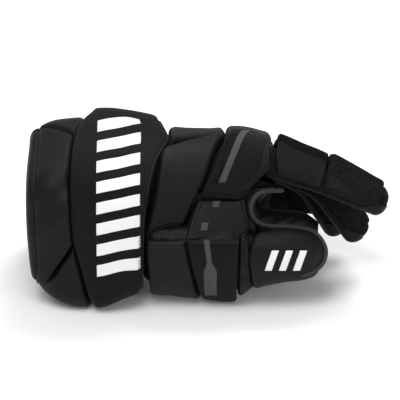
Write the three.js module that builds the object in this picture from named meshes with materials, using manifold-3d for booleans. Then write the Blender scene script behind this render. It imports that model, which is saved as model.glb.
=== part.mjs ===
// Left-hand ice hockey glove lying palm down, as an assembly of closed pieces with small gaps.
// Millimetres: X runs from the cuff to the fingertips, -Y is the thumb side and Z is up.
// Angles go round a section in degrees: 0 little-finger side, 90 back, 180 thumb side, 270 palm.

import * as THREE from "three";
import Module from "manifold-3d";

const wasm = await Module();
wasm.setup();

// Lengths along X, from the cuff's opening to the knuckles
const CUFF_LENGTH = 44;
const ROLL_LENGTH = 70;
const HAND_LENGTH = 112;
const THUMB_REACH = 162;
const KNUCKLES_X = 58;

// Widths along Y, heights along Z
const ROLL_WIDTH = 162;
const ROLL_HEIGHT = 154;
const HAND_WIDTH = 80;
const HAND_DEPTH = 56;
const HAND_RISE = 106;
const THUMB_WIDTH = 42;
const THUMB_DEPTH = 77;
const FINGER_WIDTH = 24.4;
const FINGER_DEPTH = 26;
const FINGER_TIP = 9;

// Thicknesses
const GAP = 0.3;
const CLEARANCE = 0.5;
const SUNK = 1.2;
const SETTLE = 1.8;
const SHELL_TOLERANCE = 0.1;
const PAD_TOLERANCE = 0.2;
const SHELL_WALL = 2.4;
const FINGER_WALL = 1.8;
const CUFF_PAD = 9;
const ROLL_PAD = 12;
const HAND_PAD = 9.7;
const CENTRE_PAD = 11.5;
const SIDE_PAD = 9;
const THUMB_PAD = 7.7;
const CAP_PAD = 6.7;
const PANEL_PAD = 4.5;
const BINDING_RADIUS = 2.1;

const ROLL_FRONT_X = KNUCKLES_X - HAND_LENGTH;
const ROLL_REAR_X = ROLL_FRONT_X - ROLL_LENGTH;
const OPENING_X = ROLL_REAR_X - CUFF_LENGTH;

// Lofted surfaces

// Cubic through the rows' values of one column, straight on past both ends
function columnAt(rows, key, s) {
  const last = rows.length - 1;
  const slope = (i, j) => (rows[j][key] - rows[i][key]) / (rows[j].s - rows[i].s);
  const tangent = (i) => slope(Math.max(i - 1, 0), Math.min(i + 1, last));
  if (s <= rows[0].s) return rows[0][key] + tangent(0) * (s - rows[0].s);
  if (s >= rows[last].s) return rows[last][key] + tangent(last) * (s - rows[last].s);
  let i = 0;
  while (rows[i + 1].s < s) i += 1;
  const span = rows[i + 1].s - rows[i].s;
  const t = (s - rows[i].s) / span;
  const here = rows[i][key] * (1 + 2 * t) + span * tangent(i) * t;
  const there = rows[i + 1][key] * (3 - 2 * t) - span * tangent(i + 1) * (1 - t);
  return here * (1 - t) ** 2 + there * t ** 2;
}

// A surface lofted through rounded sections. Each row gives its place s, the section's middle (x, side,
// up), its half sizes, how its back slopes to the little finger, how its sides lean, how square its back
// and palm are, and, on a finger, its pitch and roll.
class Skin {
  constructor(rows) {
    const level = { slope: 0, lean: 0, square_back: 3, square_palm: 3, pitch: 0, roll: 0 };
    this.rows = rows.map((row) => ({ ...level, ...row }));
  }

  inset(depth) {
    return new Skin(this.rows.map((row) => ({
      ...row,
      half_width: row.half_width - depth,
      half_height: row.half_height - depth,
    })));
  }

  middle(s) {
    return new THREE.Vector3(
      columnAt(this.rows, "x", s),
      columnAt(this.rows, "side", s),
      columnAt(this.rows, "up", s),
    );
  }

  // The point that lies (side, up) from the section's middle, in the section's own plane
  local(s, side, up) {
    const roll = THREE.MathUtils.degToRad(columnAt(this.rows, "roll", s));
    const pitch = THREE.MathUtils.degToRad(columnAt(this.rows, "pitch", s));
    const y = side * Math.cos(roll) + up * Math.sin(roll);
    const z = up * Math.cos(roll) - side * Math.sin(roll);
    const offset = new THREE.Vector3(z * Math.sin(pitch), y, z * Math.cos(pitch));
    return this.middle(s).add(offset);
  }

  ring(s, angle) {
    const turn = THREE.MathUtils.degToRad(angle);
    const c = Math.cos(turn);
    const q = Math.sin(turn);
    const back = columnAt(this.rows, "square_back", s);
    const palm = columnAt(this.rows, "square_palm", s);
    const square = back * (0.5 + 0.5 * q) + palm * (0.5 - 0.5 * q);
    const reach = (Math.abs(c) ** square + Math.abs(q) ** square) ** (-1 / square);
    const across = columnAt(this.rows, "half_width", s) * reach * c;
    const over = columnAt(this.rows, "half_height", s) * reach * q;
    const side = across + columnAt(this.rows, "lean", s) * over;
    const up = over - columnAt(this.rows, "slope", s) * across;
    return [side, up];
  }

  raw(s, angle) {
    return this.local(s, ...this.ring(s, angle));
  }

  // The point at a height above the surface, along its normal
  point(s, angle, height = 0) {
    const at = this.raw(s, angle);
    if (height === 0) return at;
    const along = this.raw(s + 0.5, angle).sub(this.raw(s - 0.5, angle));
    const around = this.raw(s, angle + 0.5).sub(this.raw(s, angle - 0.5));
    const normal = around.cross(along).normalize();
    if (normal.dot(at.clone().sub(this.middle(s))) < 0) normal.negate();
    return at.addScaledVector(normal, height);
  }
}

// Solids from grids of points

function closedSolid(points, faces) {
  let volume = 0;
  for (const [a, b, c] of faces) volume += points[a].dot(points[b].clone().cross(points[c]));
  const wound = volume > 0 ? faces : faces.map(([a, b, c]) => [a, c, b]);
  return new wasm.Manifold(new wasm.Mesh({
    numProp: 3,
    vertProperties: new Float32Array(points.flatMap((point) => point.toArray())),
    triVerts: new Uint32Array(wound.flat()),
  }));
}

// Closed solid of a skin between its first and last place, with a flat fan on each end
function tube(skin, places, sides, height = 0) {
  const points = [];
  const faces = [];
  for (const s of places) {
    for (let k = 0; k < sides; k += 1) points.push(skin.point(s, (360 * k) / sides, height));
  }
  for (let i = 0; i + 1 < places.length; i += 1) {
    for (let k = 0; k < sides; k += 1) {
      const a = i * sides + k;
      const b = i * sides + (k + 1) % sides;
      faces.push([a, b, a + sides], [b, b + sides, a + sides]);
    }
  }
  for (const [end, s] of [[0, places[0]], [places.length - 1, places.at(-1)]]) {
    const hub = points.push(skin.middle(s)) - 1;
    for (let k = 0; k < sides; k += 1) {
      const a = end * sides + k;
      const b = end * sides + (k + 1) % sides;
      faces.push(end === 0 ? [hub, b, a] : [hub, a, b]);
    }
  }
  return closedSolid(points, faces);
}

// Closed solid between a grid of under points and a grid of over points, rounded off at its edges:
// over and under are functions of (u, v), and the over grid sinks to the shoulder share at the border
function slab(under, over, columns, rows, { shoulder = 0.5, round = 0.07 } = {}) {
  const lines = (count) => {
    const inner = Array.from({ length: count + 1 }, (_, i) => round + (1 - 2 * round) * (i / count));
    return [0, ...inner, 1];
  };
  const us = lines(columns);
  const vs = lines(rows);
  const width = vs.length;
  const points = [];
  const faces = [];
  for (const layer of ["over", "under"]) {
    for (const u of us) {
      for (const v of vs) {
        const low = under(u, v);
        const border = u === 0 || u === 1 || v === 0 || v === 1;
        const share = border ? shoulder : 1;
        points.push(layer === "under" ? low : low.lerp(over(u, v), share));
      }
    }
  }
  const sheet = us.length * width;
  for (let i = 0; i + 1 < us.length; i += 1) {
    for (let j = 0; j + 1 < width; j += 1) {
      const a = i * width + j;
      const d = a + width;
      const direct = points[a].distanceTo(points[d + 1]) < points[a + 1].distanceTo(points[d]);
      const halves = direct ? [[a, a + 1, d + 1], [a, d + 1, d]] : [[a, a + 1, d], [a + 1, d + 1, d]];
      for (const [p, q, r] of halves) faces.push([p, q, r], [p + sheet, r + sheet, q + sheet]);
    }
  }
  const wall = (a, b) => faces.push([a, b, a + sheet], [b, b + sheet, a + sheet]);
  for (let i = 0; i + 1 < us.length; i += 1) {
    wall(i * width, (i + 1) * width);
    wall((i + 2) * width - 1, (i + 1) * width - 1);
  }
  for (let j = 0; j + 1 < width; j += 1) {
    wall(j + 1, j);
    wall(sheet - width + j, sheet - width + j + 1);
  }
  return closedSolid(points, faces);
}

// Place on a skin at (u, v) between a rear and a front line. Each row of the outline gives a point of
// both lines: rear and front places along the skin, with their angles.
function between(outline, along) {
  return (u, v) => {
    const reach = v * (outline.length - 1);
    const i = Math.min(Math.floor(reach), outline.length - 2);
    const mix = (key) => THREE.MathUtils.lerp(outline[i][key], outline[i + 1][key], reach - i);
    const s = THREE.MathUtils.lerp(mix("rear"), mix("front"), u);
    const angle = THREE.MathUtils.lerp(mix("rear_angle"), mix("front_angle"), u);
    return [along(s), angle];
  };
}

// Round cord along a curve, with a low count of sides
function cord(path, radius, steps, sides) {
  const frames = path.computeFrenetFrames(steps, false);
  const points = [];
  const faces = [];
  for (let i = 0; i <= steps; i += 1) {
    for (let k = 0; k < sides; k += 1) {
      const turn = (2 * Math.PI * k) / sides;
      points.push(path.getPointAt(i / steps)
        .addScaledVector(frames.normals[i], radius * Math.cos(turn))
        .addScaledVector(frames.binormals[i], radius * Math.sin(turn)));
    }
  }
  for (let i = 0; i < steps; i += 1) {
    for (let k = 0; k < sides; k += 1) {
      const a = i * sides + k;
      const b = i * sides + (k + 1) % sides;
      faces.push([a, b, a + sides], [b, b + sides, a + sides]);
    }
  }
  for (let k = 1; k + 1 < sides; k += 1) {
    faces.push([0, k + 1, k], [steps * sides, steps * sides + k, steps * sides + k + 1]);
  }
  return closedSolid(points, faces);
}

function evenly(from, to, count) {
  return Array.from({ length: count + 1 }, (_, i) => from + ((to - from) * i) / count);
}

// Sections of the cuff, as shares of ROLL_WIDTH and ROLL_HEIGHT
function cuffRows(table, start, length) {
  return table.map(({ along, width, top, under }) => ({
    s: start + along * length,
    x: start + along * length,
    side: 0,
    up: (ROLL_HEIGHT * (top + under)) / 2,
    half_width: (ROLL_WIDTH * width) / 2,
    half_height: (ROLL_HEIGHT * (top - under)) / 2,
    square_back: 3.6,
    square_palm: 5.9,
  }));
}

const CUFF_SECTIONS = [
  { along: 0, width: 0.765, top: 0.857, under: 0.201 },
  { along: 0.18, width: 0.827, top: 0.886, under: 0.143 },
  { along: 0.52, width: 0.907, top: 0.922, under: 0.052 },
  { along: 0.95, width: 0.938, top: 0.935, under: 0 },
  { along: 1.36, width: 0.951, top: 0.942, under: -0.008 },
];

const ROLL_SECTIONS = [
  { along: -0.06, width: 0.951, top: 0.955, under: -0.006 },
  { along: 0.2, width: 0.994, top: 0.994, under: -0.01 },
  { along: 0.41, width: 1, top: 1, under: 0.004 },
  { along: 0.63, width: 0.988, top: 0.99, under: 0.052 },
  { along: 0.84, width: 0.951, top: 0.981, under: 0.084 },
  { along: 1.06, width: 0.901, top: 0.961, under: 0.104 },
  { along: 1.26, width: 0.827, top: 0.935, under: 0.13 },
];

// Sections of the hand: along as shares of HAND_LENGTH from the roll, the rest of HAND_WIDTH, HAND_RISE
// and HAND_DEPTH
const HAND_SECTIONS = [
  { along: -0.02, side: -0.012, up: 0.887, width: 0.66, depth: 0.74, slope: 0.12, lean: 0.2, square: 3.2 },
  { along: 0.17, side: 0.012, up: 0.935, width: 0.56, depth: 0.63, slope: 0.22, lean: 0.44, square: 3.1 },
  { along: 0.48, side: 0.038, up: 0.955, width: 0.5, depth: 0.58, slope: 0.3, lean: 0.54, square: 3.2 },
  { along: 0.75, side: 0.062, up: 0.975, width: 0.5, depth: 0.58, slope: 0.34, lean: 0.52, square: 3.2 },
  { along: 1, side: 0.14, up: 1.05, width: 0.57, depth: 0.36, slope: 0.42, lean: 0.3, square: 3.2 },
];

// Sections of the thumb: along as shares of THUMB_REACH from the roll, side of HAND_WIDTH, the rest of
// THUMB_WIDTH and THUMB_DEPTH
const THUMB_SECTIONS = [
  { along: -0.15, side: -0.42, up: 0.82, width: 0.38, depth: 0.3, lean: -0.15, square: 2.4 },
  { along: -0.02, side: -0.565, up: 0.67, width: 0.48, depth: 0.44, lean: -0.25, square: 2.4 },
  { along: 0.15, side: -0.6, up: 0.65, width: 0.5, depth: 0.48, lean: -0.27, square: 2.3 },
  { along: 0.33, side: -0.612, up: 0.63, width: 0.5, depth: 0.51, lean: -0.27, square: 2.3 },
  { along: 0.49, side: -0.625, up: 0.605, width: 0.49, depth: 0.49, lean: -0.25, square: 2.3 },
  { along: 0.58, side: -0.638, up: 0.65, width: 0.45, depth: 0.345, lean: -0.2, square: 2.4 },
  { along: 0.765, side: -0.65, up: 0.72, width: 0.43, depth: 0.28, lean: -0.15, square: 2.6 },
  { along: 0.9, side: -0.625, up: 0.715, width: 0.37, depth: 0.23, lean: -0.1, square: 2.6 },
  { along: 0.965, side: -0.612, up: 0.715, width: 0.22, depth: 0.14, lean: -0.1, square: 2.4 },
];

// Fingers: base point as shares of HAND_LENGTH, HAND_WIDTH and HAND_RISE, lengths of the four parts of
// each finger in mm, their pitch below level in degrees, the roll about X, the spread of the tip and
// where the near pad starts, clear of the knuckles
const FINGERS = [
  {
    name: "index", base: [0.93, -0.3, 1.236], parts: [28, 28, 28, 30], pitches: [19, 21, 29, 29],
    roll: 5, spread: -2, clear: 13,
  },
  {
    name: "middle", base: [0.93, 0.044, 1.108], parts: [29, 29, 30, 30], pitches: [24, 28, 52, 56],
    roll: 12, spread: 1, clear: 13.5,
  },
  {
    name: "ring", base: [0.9, 0.375, 0.99], parts: [26, 26, 27, 27], pitches: [28, 33, 56, 60],
    roll: 20, spread: 4, clear: 14.5,
  },
  {
    name: "little", base: [0.79, 0.68, 0.877], parts: [22, 22, 24, 24], pitches: [50, 60, 78, 84],
    roll: 26, spread: 9, clear: 24,
  },
];

const cuffSkin = new Skin(cuffRows(CUFF_SECTIONS, OPENING_X, CUFF_LENGTH));
const rollSkin = new Skin(cuffRows(ROLL_SECTIONS, ROLL_REAR_X, ROLL_LENGTH));

const handAlong = (share) => ROLL_FRONT_X + share * HAND_LENGTH;
const thumbAlong = (share) => ROLL_FRONT_X + share * THUMB_REACH;
const rollAlong = (share) => ROLL_REAR_X + share * ROLL_LENGTH;
const cuffAlong = (share) => OPENING_X + share * CUFF_LENGTH;

const handRows = HAND_SECTIONS.map((row) => ({
  s: handAlong(row.along),
  x: handAlong(row.along),
  side: row.side * HAND_WIDTH,
  up: row.up * HAND_RISE,
  half_width: row.width * HAND_WIDTH,
  half_height: row.depth * HAND_DEPTH,
  slope: row.slope,
  lean: row.lean,
  square_back: row.square,
  square_palm: row.square,
}));

const thumbRows = THUMB_SECTIONS.map((row) => ({
  s: thumbAlong(row.along),
  x: thumbAlong(row.along),
  side: row.side * HAND_WIDTH,
  up: row.up * THUMB_DEPTH,
  half_width: row.width * THUMB_WIDTH,
  half_height: row.depth * THUMB_DEPTH,
  lean: row.lean,
  square_back: row.square,
  square_palm: row.square,
}));

// The hand's shell carries on under the roll and the cuff as their lining
const handSkin = new Skin([
  ...cuffSkin.inset(CUFF_PAD + GAP).rows.slice(0, 4),
  ...rollSkin.inset(ROLL_PAD + GAP).rows.slice(1, 4),
  ...handRows,
]);
const thumbSkin = new Skin(thumbRows);

function fingerSkin({ base, parts, pitches, roll, spread }) {
  const total = parts.reduce((sum, part) => sum + part, 0);
  const half = { half_width: FINGER_WIDTH / 2, half_height: FINGER_DEPTH / 2 };
  const shape = { square_back: 2.8, square_palm: 2.8, roll };
  let s = 0;
  let x = handAlong(base[0]);
  let up = base[2] * HAND_RISE;
  const side = base[1] * HAND_WIDTH;
  const rows = [{ s, x, side, up, ...half, ...shape, pitch: pitches[0] }];
  parts.forEach((part, i) => {
    const slope = THREE.MathUtils.degToRad(pitches[i]);
    s += part;
    x += part * Math.cos(slope);
    up -= part * Math.sin(slope);
    const next = pitches[Math.min(i + 1, pitches.length - 1)];
    const pitch = (pitches[i] + next) / 2;
    rows.push({ s, x, side: side + (spread * s) / total, up, ...half, ...shape, pitch });
  });
  return new Skin(rows);
}

// Closed solid of a finger with a rounded tip, grown by a height or shrunk by a negative one
const FINGER_SIDES = 10;
function fingerTube(skin, length, start, height) {
  const rounds = [0.35, 0.75, 1].map((share) => share * FINGER_TIP);
  const open = start < 0 ? [start] : [];
  const places = [...open, ...evenly(0, length, 4), ...rounds.map((step) => length + step)];
  const rows = [...skin.rows];
  const last = rows.at(-1);
  const pitch = THREE.MathUtils.degToRad(last.pitch);
  for (const step of rounds) {
    const narrow = Math.sqrt(1 - (0.94 * step / FINGER_TIP) ** 2);
    rows.push({
      ...last,
      s: last.s + step,
      x: last.x + step * Math.cos(pitch),
      up: last.up - step * Math.sin(pitch),
      half_width: last.half_width * narrow,
      half_height: last.half_height * narrow,
    });
  }
  const closed = new Skin(rows);
  const inner = places.filter((place) => place < length + FINGER_TIP + height);
  return tube(closed.inset(-height), height < 0 ? inner : places, FINGER_SIDES);
}

// Shells
const SIDES = 24;
const FRONT_X = KNUCKLES_X + 2;
const LINING_FRONT = rollAlong(0.3);
const bodyPlaces = [...evenly(OPENING_X + 3, LINING_FRONT, 3), ...evenly(rollAlong(0.6), FRONT_X, 6)];
const bodyOuter = tube(handSkin, bodyPlaces, SIDES);
const hollowPlaces = [OPENING_X - 6, ...bodyPlaces.slice(1, -1), FRONT_X - SHELL_WALL];
const bodyHollow = tube(handSkin.inset(SHELL_WALL), hollowPlaces, SIDES);

const THUMB_SIDES = 14;
const thumbPlaces = [...evenly(thumbAlong(-0.13), thumbAlong(0.9), 7), thumbAlong(0.96), thumbAlong(0.985)];
const thumbOuter = tube(thumbSkin, thumbPlaces, THUMB_SIDES);
const thumbHollow = tube(thumbSkin.inset(SHELL_WALL), thumbPlaces.slice(0, -1), THUMB_SIDES);
const thumbClear = tube(thumbSkin.inset(-CLEARANCE), thumbPlaces, THUMB_SIDES);
const bodyClear = tube(handSkin.inset(-CLEARANCE), bodyPlaces, SIDES);

// How far the fingers' stalls reach back through the shell
const SLEEVE_REACH = 8;
const HOLLOW_REACH = 6;
const fingers = FINGERS.map((finger) => {
  const skin = fingerSkin(finger);
  const length = finger.parts.reduce((sum, part) => sum + part, 0);
  return {
    ...finger,
    skin,
    length,
    outer: fingerTube(skin, length, 0, 0),
    sleeve: fingerTube(skin, length, -SLEEVE_REACH, CLEARANCE),
    hollow: fingerTube(skin, length, -HOLLOW_REACH, -FINGER_WALL),
  };
});

let shell = bodyOuter.subtract(bodyHollow).subtract(thumbHollow);
for (const finger of fingers) shell = shell.subtract(finger.sleeve);

// The shell parts into lining, back and palm at planes with a small gap between them
const splitX = (solid, x) => [
  solid.trimByPlane([-1, 0, 0], -(x - GAP / 2)),
  solid.trimByPlane([1, 0, 0], x + GAP / 2),
];
const [lining, handShell] = splitX(shell, LINING_FRONT);
const SEAM_TILT = 0.3;
const SEAM_RISE = 0.08;
const SEAM_HEIGHT = 0.96;
const seamNormal = new THREE.Vector3(-SEAM_RISE, SEAM_TILT, 1).normalize();
const seamPoint = new THREE.Vector3(handAlong(0.5), 0, HAND_RISE * SEAM_HEIGHT);
const seamAt = seamNormal.dot(seamPoint);
const handBack = handShell.trimByPlane(seamNormal.toArray(), seamAt + GAP / 2);
const palm = handShell.trimByPlane(seamNormal.clone().negate().toArray(), -(seamAt - GAP / 2));
const thumbShell = thumbOuter.subtract(thumbHollow).subtract(bodyClear);

// Everything sewn on stays clear of the shells beneath it
const shellsClear = [bodyClear, thumbClear, ...fingers.map((finger) => finger.sleeve)];
const clearOf = (solid, others) => others.reduce((left, other) => left.subtract(other), solid);

const pieces = [];
const add = (name, solid, material, tolerance = PAD_TOLERANCE) => (
  pieces.push({ name, solid, material, tolerance })
);

const COLOURS = {
  smooth: [0x1b1b1d, 0.62],
  ribbed: [0x202028, 0.85],
  mesh: [0x151517, 0.9],
  leather: [0x2a2a2c, 0.6],
  piping: [0x37373a, 0.7],
  lining: [0x18181a, 0.95],
};

add("cuff_lining", lining, "lining", SHELL_TOLERANCE);
add("hand_back", handBack, "mesh", SHELL_TOLERANCE);
add("palm", palm, "leather", SHELL_TOLERANCE);
for (const finger of fingers) {
  add(`${finger.name}_stall`, finger.outer.subtract(finger.hollow), "mesh", SHELL_TOLERANCE);
}

// Cuff and roll: both reach from just under the lining's skin to their own outer skin
function wrap(skin, thickness, outline, along, columns, rows, options) {
  const inner = skin.inset(thickness + SUNK);
  const place = between(outline, along);
  return slab(
    (u, v) => inner.raw(...place(u, v)),
    (u, v) => skin.raw(...place(u, v)),
    columns,
    rows,
    options,
  );
}

// Edges of the roll round its section, as shares of ROLL_LENGTH
const ROLL_EDGES = [
  { rear: 0.28, rear_angle: -70, front: 0.88, front_angle: -62 },
  { rear: 0.06, rear_angle: -12, front: 1.04, front_angle: -12 },
  { rear: 0.18, rear_angle: 48, front: 1.13, front_angle: 48 },
  { rear: 0.03, rear_angle: 70, front: 1.24, front_angle: 74 },
  { rear: -0.03, rear_angle: 100, front: 1.18, front_angle: 94 },
  { rear: -0.04, rear_angle: 135, front: 1.02, front_angle: 132 },
  { rear: -0.02, rear_angle: 172, front: 0.94, front_angle: 160 },
  { rear: 0.09, rear_angle: 200, front: 0.92, front_angle: 195 },
  { rear: 0.3, rear_angle: 246, front: 0.9, front_angle: 240 },
];
const ROLL_ROUND = { round: 0.04 };
const rollBlock = wrap(rollSkin, ROLL_PAD, ROLL_EDGES, rollAlong, 3, 16, ROLL_ROUND);
add("cuff_roll", clearOf(rollBlock, [bodyClear]), "ribbed");

// The space that the roll takes up, with its gap, which its neighbours stay out of
const EDGE_GAP = CLEARANCE / ROLL_LENGTH;
const wideEdges = ROLL_EDGES.map((row) => ({ ...row, rear: row.rear - EDGE_GAP, front: row.front + EDGE_GAP }));
const rollClear = wrap(rollSkin.inset(-GAP), ROLL_PAD + 2 * GAP, wideEdges, rollAlong, 3, 16, ROLL_ROUND);

// The roll's rear edge at an angle, as a share of CUFF_LENGTH, which the cuff's panels stop short of
function rollRear(angle) {
  const rows = ROLL_EDGES;
  let i = 0;
  while (i + 2 < rows.length && rows[i + 1].rear_angle < angle) i += 1;
  const t = (angle - rows[i].rear_angle) / (rows[i + 1].rear_angle - rows[i].rear_angle);
  const share = THREE.MathUtils.lerp(rows[i].rear, rows[i + 1].rear, t);
  return (rollAlong(share) - CLEARANCE - OPENING_X) / CUFF_LENGTH;
}

// Panels of the cuff: each row gives the angle at the opening and at the roll
const CUFF_PANELS = {
  cuff_little_panel: [[-62, -69, 0.1], [-12, -10, 0.02], [37, 39, 0.02]],
  cuff_back_panel: [[40, 42, 0.02], [75, 62, 0.02], [104, 80, 0.04]],
  cuff_thumb_panel: [[107, 83, 0.04], [150, 115, 0], [190, 145, 0.01], [236, 176, 0.09]],
  cuff_palm_flap: [[239, 179, 0.1], [244, 208, 0.2], [252, 240, 0.32]],
};
for (const [name, rows] of Object.entries(CUFF_PANELS)) {
  const outline = rows.map(([rear_angle, front_angle, rear]) => ({
    rear,
    rear_angle,
    front: rollRear(front_angle),
    front_angle,
  }));
  const block = wrap(cuffSkin, CUFF_PAD, outline, cuffAlong, 2, 5, { round: 0.09 });
  add(name, clearOf(block, [bodyClear, rollClear]), "smooth");
}
add("thumb_stall", thumbShell.subtract(rollClear), "leather", SHELL_TOLERANCE);

// Pads sewn on a skin, between a rear and a front line, clear of the shells and the roll
function pad(skin, thickness, outline, along, columns, rows, options) {
  const place = between(outline, along);
  const block = slab(
    (u, v) => skin.point(...place(u, v), -SUNK),
    (u, v) => skin.point(...place(u, v), GAP + thickness),
    columns,
    rows,
    options,
  );
  return clearOf(block, [...shellsClear, rollClear]);
}

const quad = (rear0, angle0, front0, front_angle0, rear1, angle1, front1, front_angle1) => [
  { rear: rear0, rear_angle: angle0, front: front0, front_angle: front_angle0 },
  { rear: rear1, rear_angle: angle1, front: front1, front_angle: front_angle1 },
];

const HAND_PADS = [
  ["back_thumb_pad", HAND_PAD, quad(0.175, 124, 0.63, 107, -0.005, 204, 0.27, 217), 4, 5],
  ["back_centre_pad", CENTRE_PAD, quad(0.17, 61, 0.61, 57, 0.17, 104, 0.63, 94), 3, 3],
  ["back_little_pad", HAND_PAD, quad(0.12, -6, 0.54, 2, 0.15, 58, 0.6, 54), 3, 3],
  ["knuckle_middle_pad", CENTRE_PAD, quad(0.64, 65, 1, 64, 0.66, 91, 1, 91), 2, 2],
  ["knuckle_ring_pad", CENTRE_PAD, quad(0.61, 40, 0.98, 38, 0.635, 62, 1, 61), 2, 2],
  ["knuckle_little_pad", HAND_PAD, quad(0.56, 3, 0.84, 6, 0.605, 37, 0.9, 35), 2, 3],
  ["side_pad", SIDE_PAD, quad(0.4, 195, 0.77, 203, 0.29, 226, 0.76, 233), 3, 3],
];
for (const [name, thickness, outline, columns, rows] of HAND_PADS) {
  add(name, pad(handSkin, thickness, outline, handAlong, columns, rows), "smooth");
}
const KNUCKLE_INDEX = [
  { rear: 0.67, rear_angle: 94, front: 1, front_angle: 94 },
  { rear: 0.59, rear_angle: 132, front: 1, front_angle: 130 },
  { rear: 0.49, rear_angle: 162, front: 1, front_angle: 164 },
  { rear: 0.41, rear_angle: 189, front: 0.77, front_angle: 199 },
];
add("knuckle_index_pad", pad(handSkin, HAND_PAD, KNUCKLE_INDEX, handAlong, 3, 6), "ribbed");

const THUMB_PADS = [
  ["thumb_base_rear_pad", THUMB_PAD, quad(-0.01, 126, 0.2, 124, 0.01, 262, 0.3, 262), 3, 6],
  ["thumb_base_front_pad", THUMB_PAD, quad(0.21, 124, 0.5, 116, 0.31, 262, 0.49, 262), 3, 6],
  ["thumb_joint_panel", PANEL_PAD, quad(0.51, 112, 0.555, 112, 0.5, 240, 0.58, 240), 1, 5],
];
for (const [name, thickness, outline, columns, rows] of THUMB_PADS) {
  const material = name.endsWith("panel") ? "leather" : "smooth";
  add(name, pad(thumbSkin, thickness, outline, thumbAlong, columns, rows), material);
}

const CAP_EDGES = [
  { rear: 0.615, rear_angle: 93, front: 0.91, front_angle: 92 },
  { rear: 0.57, rear_angle: 125, front: 0.96, front_angle: 115 },
  { rear: 0.565, rear_angle: 160, front: 0.975, front_angle: 162 },
  { rear: 0.6, rear_angle: 205, front: 0.92, front_angle: 208 },
  { rear: 0.62, rear_angle: 245, front: 0.86, front_angle: 245 },
];
add("thumb_cap", pad(thumbSkin, CAP_PAD, CAP_EDGES, thumbAlong, 4, 8), "smooth");

// Web between the thumb and the hand: a thin panel ruled from one skin to the other
const WEB = { rear: 0.785, front: 0.87, hand_angle: 200, thumb_angle: 92, thickness: 3.2 };
const webPoint = (u, v, height) => {
  const x = handAlong(THREE.MathUtils.lerp(WEB.rear, WEB.front, u));
  const top = handSkin.point(x, WEB.hand_angle, height);
  return top.lerp(thumbSkin.point(x, WEB.thumb_angle, height), v);
};
const webBlock = slab((u, v) => webPoint(u, v, CLEARANCE), (u, v) => webPoint(u, v, WEB.thickness), 1, 3);
add("thumb_web", clearOf(webBlock, shellsClear), "leather");

// Pads of the fingers: straight-sided in section, each corner given as shares of the finger's half width
// and half depth, from the little-finger side to the thumb side
const INDEX_CORNERS = [[1.1, 0.3], [0.92, 1.75], [-0.22, 2.3], [-1.38, 0.2], [-1.14, -0.5]];
const FINGER_CORNERS = [[1.08, 0.2], [0.95, 1.7], [-0.95, 1.7], [-1.08, 0.2]];

function cornerHeight(corners, angle) {
  const direction = [Math.cos(angle), Math.sin(angle)];
  const turn = ([side, up]) => Math.atan2(up, side) + (side < 0 && up < 0 ? 2 * Math.PI : 0);
  let i = 0;
  while (i + 2 < corners.length && turn(corners[i + 1]) < angle) i += 1;
  const [ax, ay] = corners[i];
  const [bx, by] = corners[i + 1];
  return (ax * by - ay * bx) / (direction[0] * (by - ay) - direction[1] * (bx - ax));
}

// A finger's pad between two places along it, whose thickness changes from full to the taper share. The
// slant moves the top of its rear face back, so that the face stands upright.
function fingerPad(skin, corners, [from, to], [full, taper], slant, splits) {
  const scaled = corners.map(([side, up]) => [(side * FINGER_WIDTH) / 2, (up * FINGER_DEPTH) / 2]);
  const turns = scaled.map(([side, up]) => Math.atan2(up, side) + (side < 0 && up < 0 ? 2 * Math.PI : 0));
  const angleAt = (v) => {
    const reach = v * (turns.length - 1);
    const i = Math.min(Math.floor(reach), turns.length - 2);
    return THREE.MathUtils.lerp(turns[i], turns[i + 1], reach - i);
  };
  const placeAt = (u) => THREE.MathUtils.lerp(from, to, u);
  const degrees = (turn) => THREE.MathUtils.radToDeg(turn);
  const block = slab(
    (u, v) => skin.point(placeAt(u), degrees(angleAt(v)), -SUNK / 2),
    (u, v) => {
      const angle = angleAt(v);
      const s = placeAt(u);
      const low = skin.point(s, degrees(angle), GAP);
      const radius = cornerHeight(scaled, angle);
      const upright = s - slant * (1 - u) * Math.max(Math.sin(angle), 0);
      const high = skin.local(upright, radius * Math.cos(angle), radius * Math.sin(angle));
      return low.lerp(high, THREE.MathUtils.lerp(full, taper, u));
    },
    2,
    splits,
    { shoulder: 0.6, round: 0.05 },
  );
  return clearOf(block, shellsClear);
}

const NEAR_SLANT = 9;
const TIP_SLANT = 3;
const PAD_SPACING = 2;
for (const finger of fingers) {
  const near = finger.parts[0] + finger.parts[1];
  const corners = finger.name === "index" ? INDEX_CORNERS : FINGER_CORNERS;
  const splits = finger.name === "index" ? 8 : 3;
  const nearPad = fingerPad(finger.skin, corners, [finger.clear, near], [1, 0.6], NEAR_SLANT, splits);
  const reach = [near + PAD_SPACING, finger.length - 1];
  const tipPad = fingerPad(finger.skin, corners, reach, [0.8, 0.4], TIP_SLANT, splits);
  add(`${finger.name}_near_pad`, nearPad, "smooth");
  add(`${finger.name}_tip_pad`, tipPad, "ribbed");
}

// Bindings
const bindingLift = BINDING_RADIUS + CLEARANCE;
const HAND_LOOP = [[1.02, 196], [0.96, 203], [0.915, 214], [0.905, 226]];
const THUMB_LOOP = [[0.585, 78], [0.63, 80], [0.7, 82], [0.8, 82], [0.88, 82], [0.935, 84]];
const bindingPath = new THREE.CatmullRomCurve3([
  ...HAND_LOOP.map(([share, angle]) => handSkin.point(handAlong(share), angle, bindingLift)),
  ...THUMB_LOOP.map(([share, angle]) => thumbSkin.point(thumbAlong(share), angle, bindingLift)),
]);
add("thumb_binding", clearOf(cord(bindingPath, BINDING_RADIUS, 34, 6), shellsClear), "piping");

// Cuts can leave specks beside a piece, which are dropped
function largest(solid) {
  return solid.decompose().reduce((best, part) => (part.volume() > best.volume() ? part : best));
}

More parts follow.
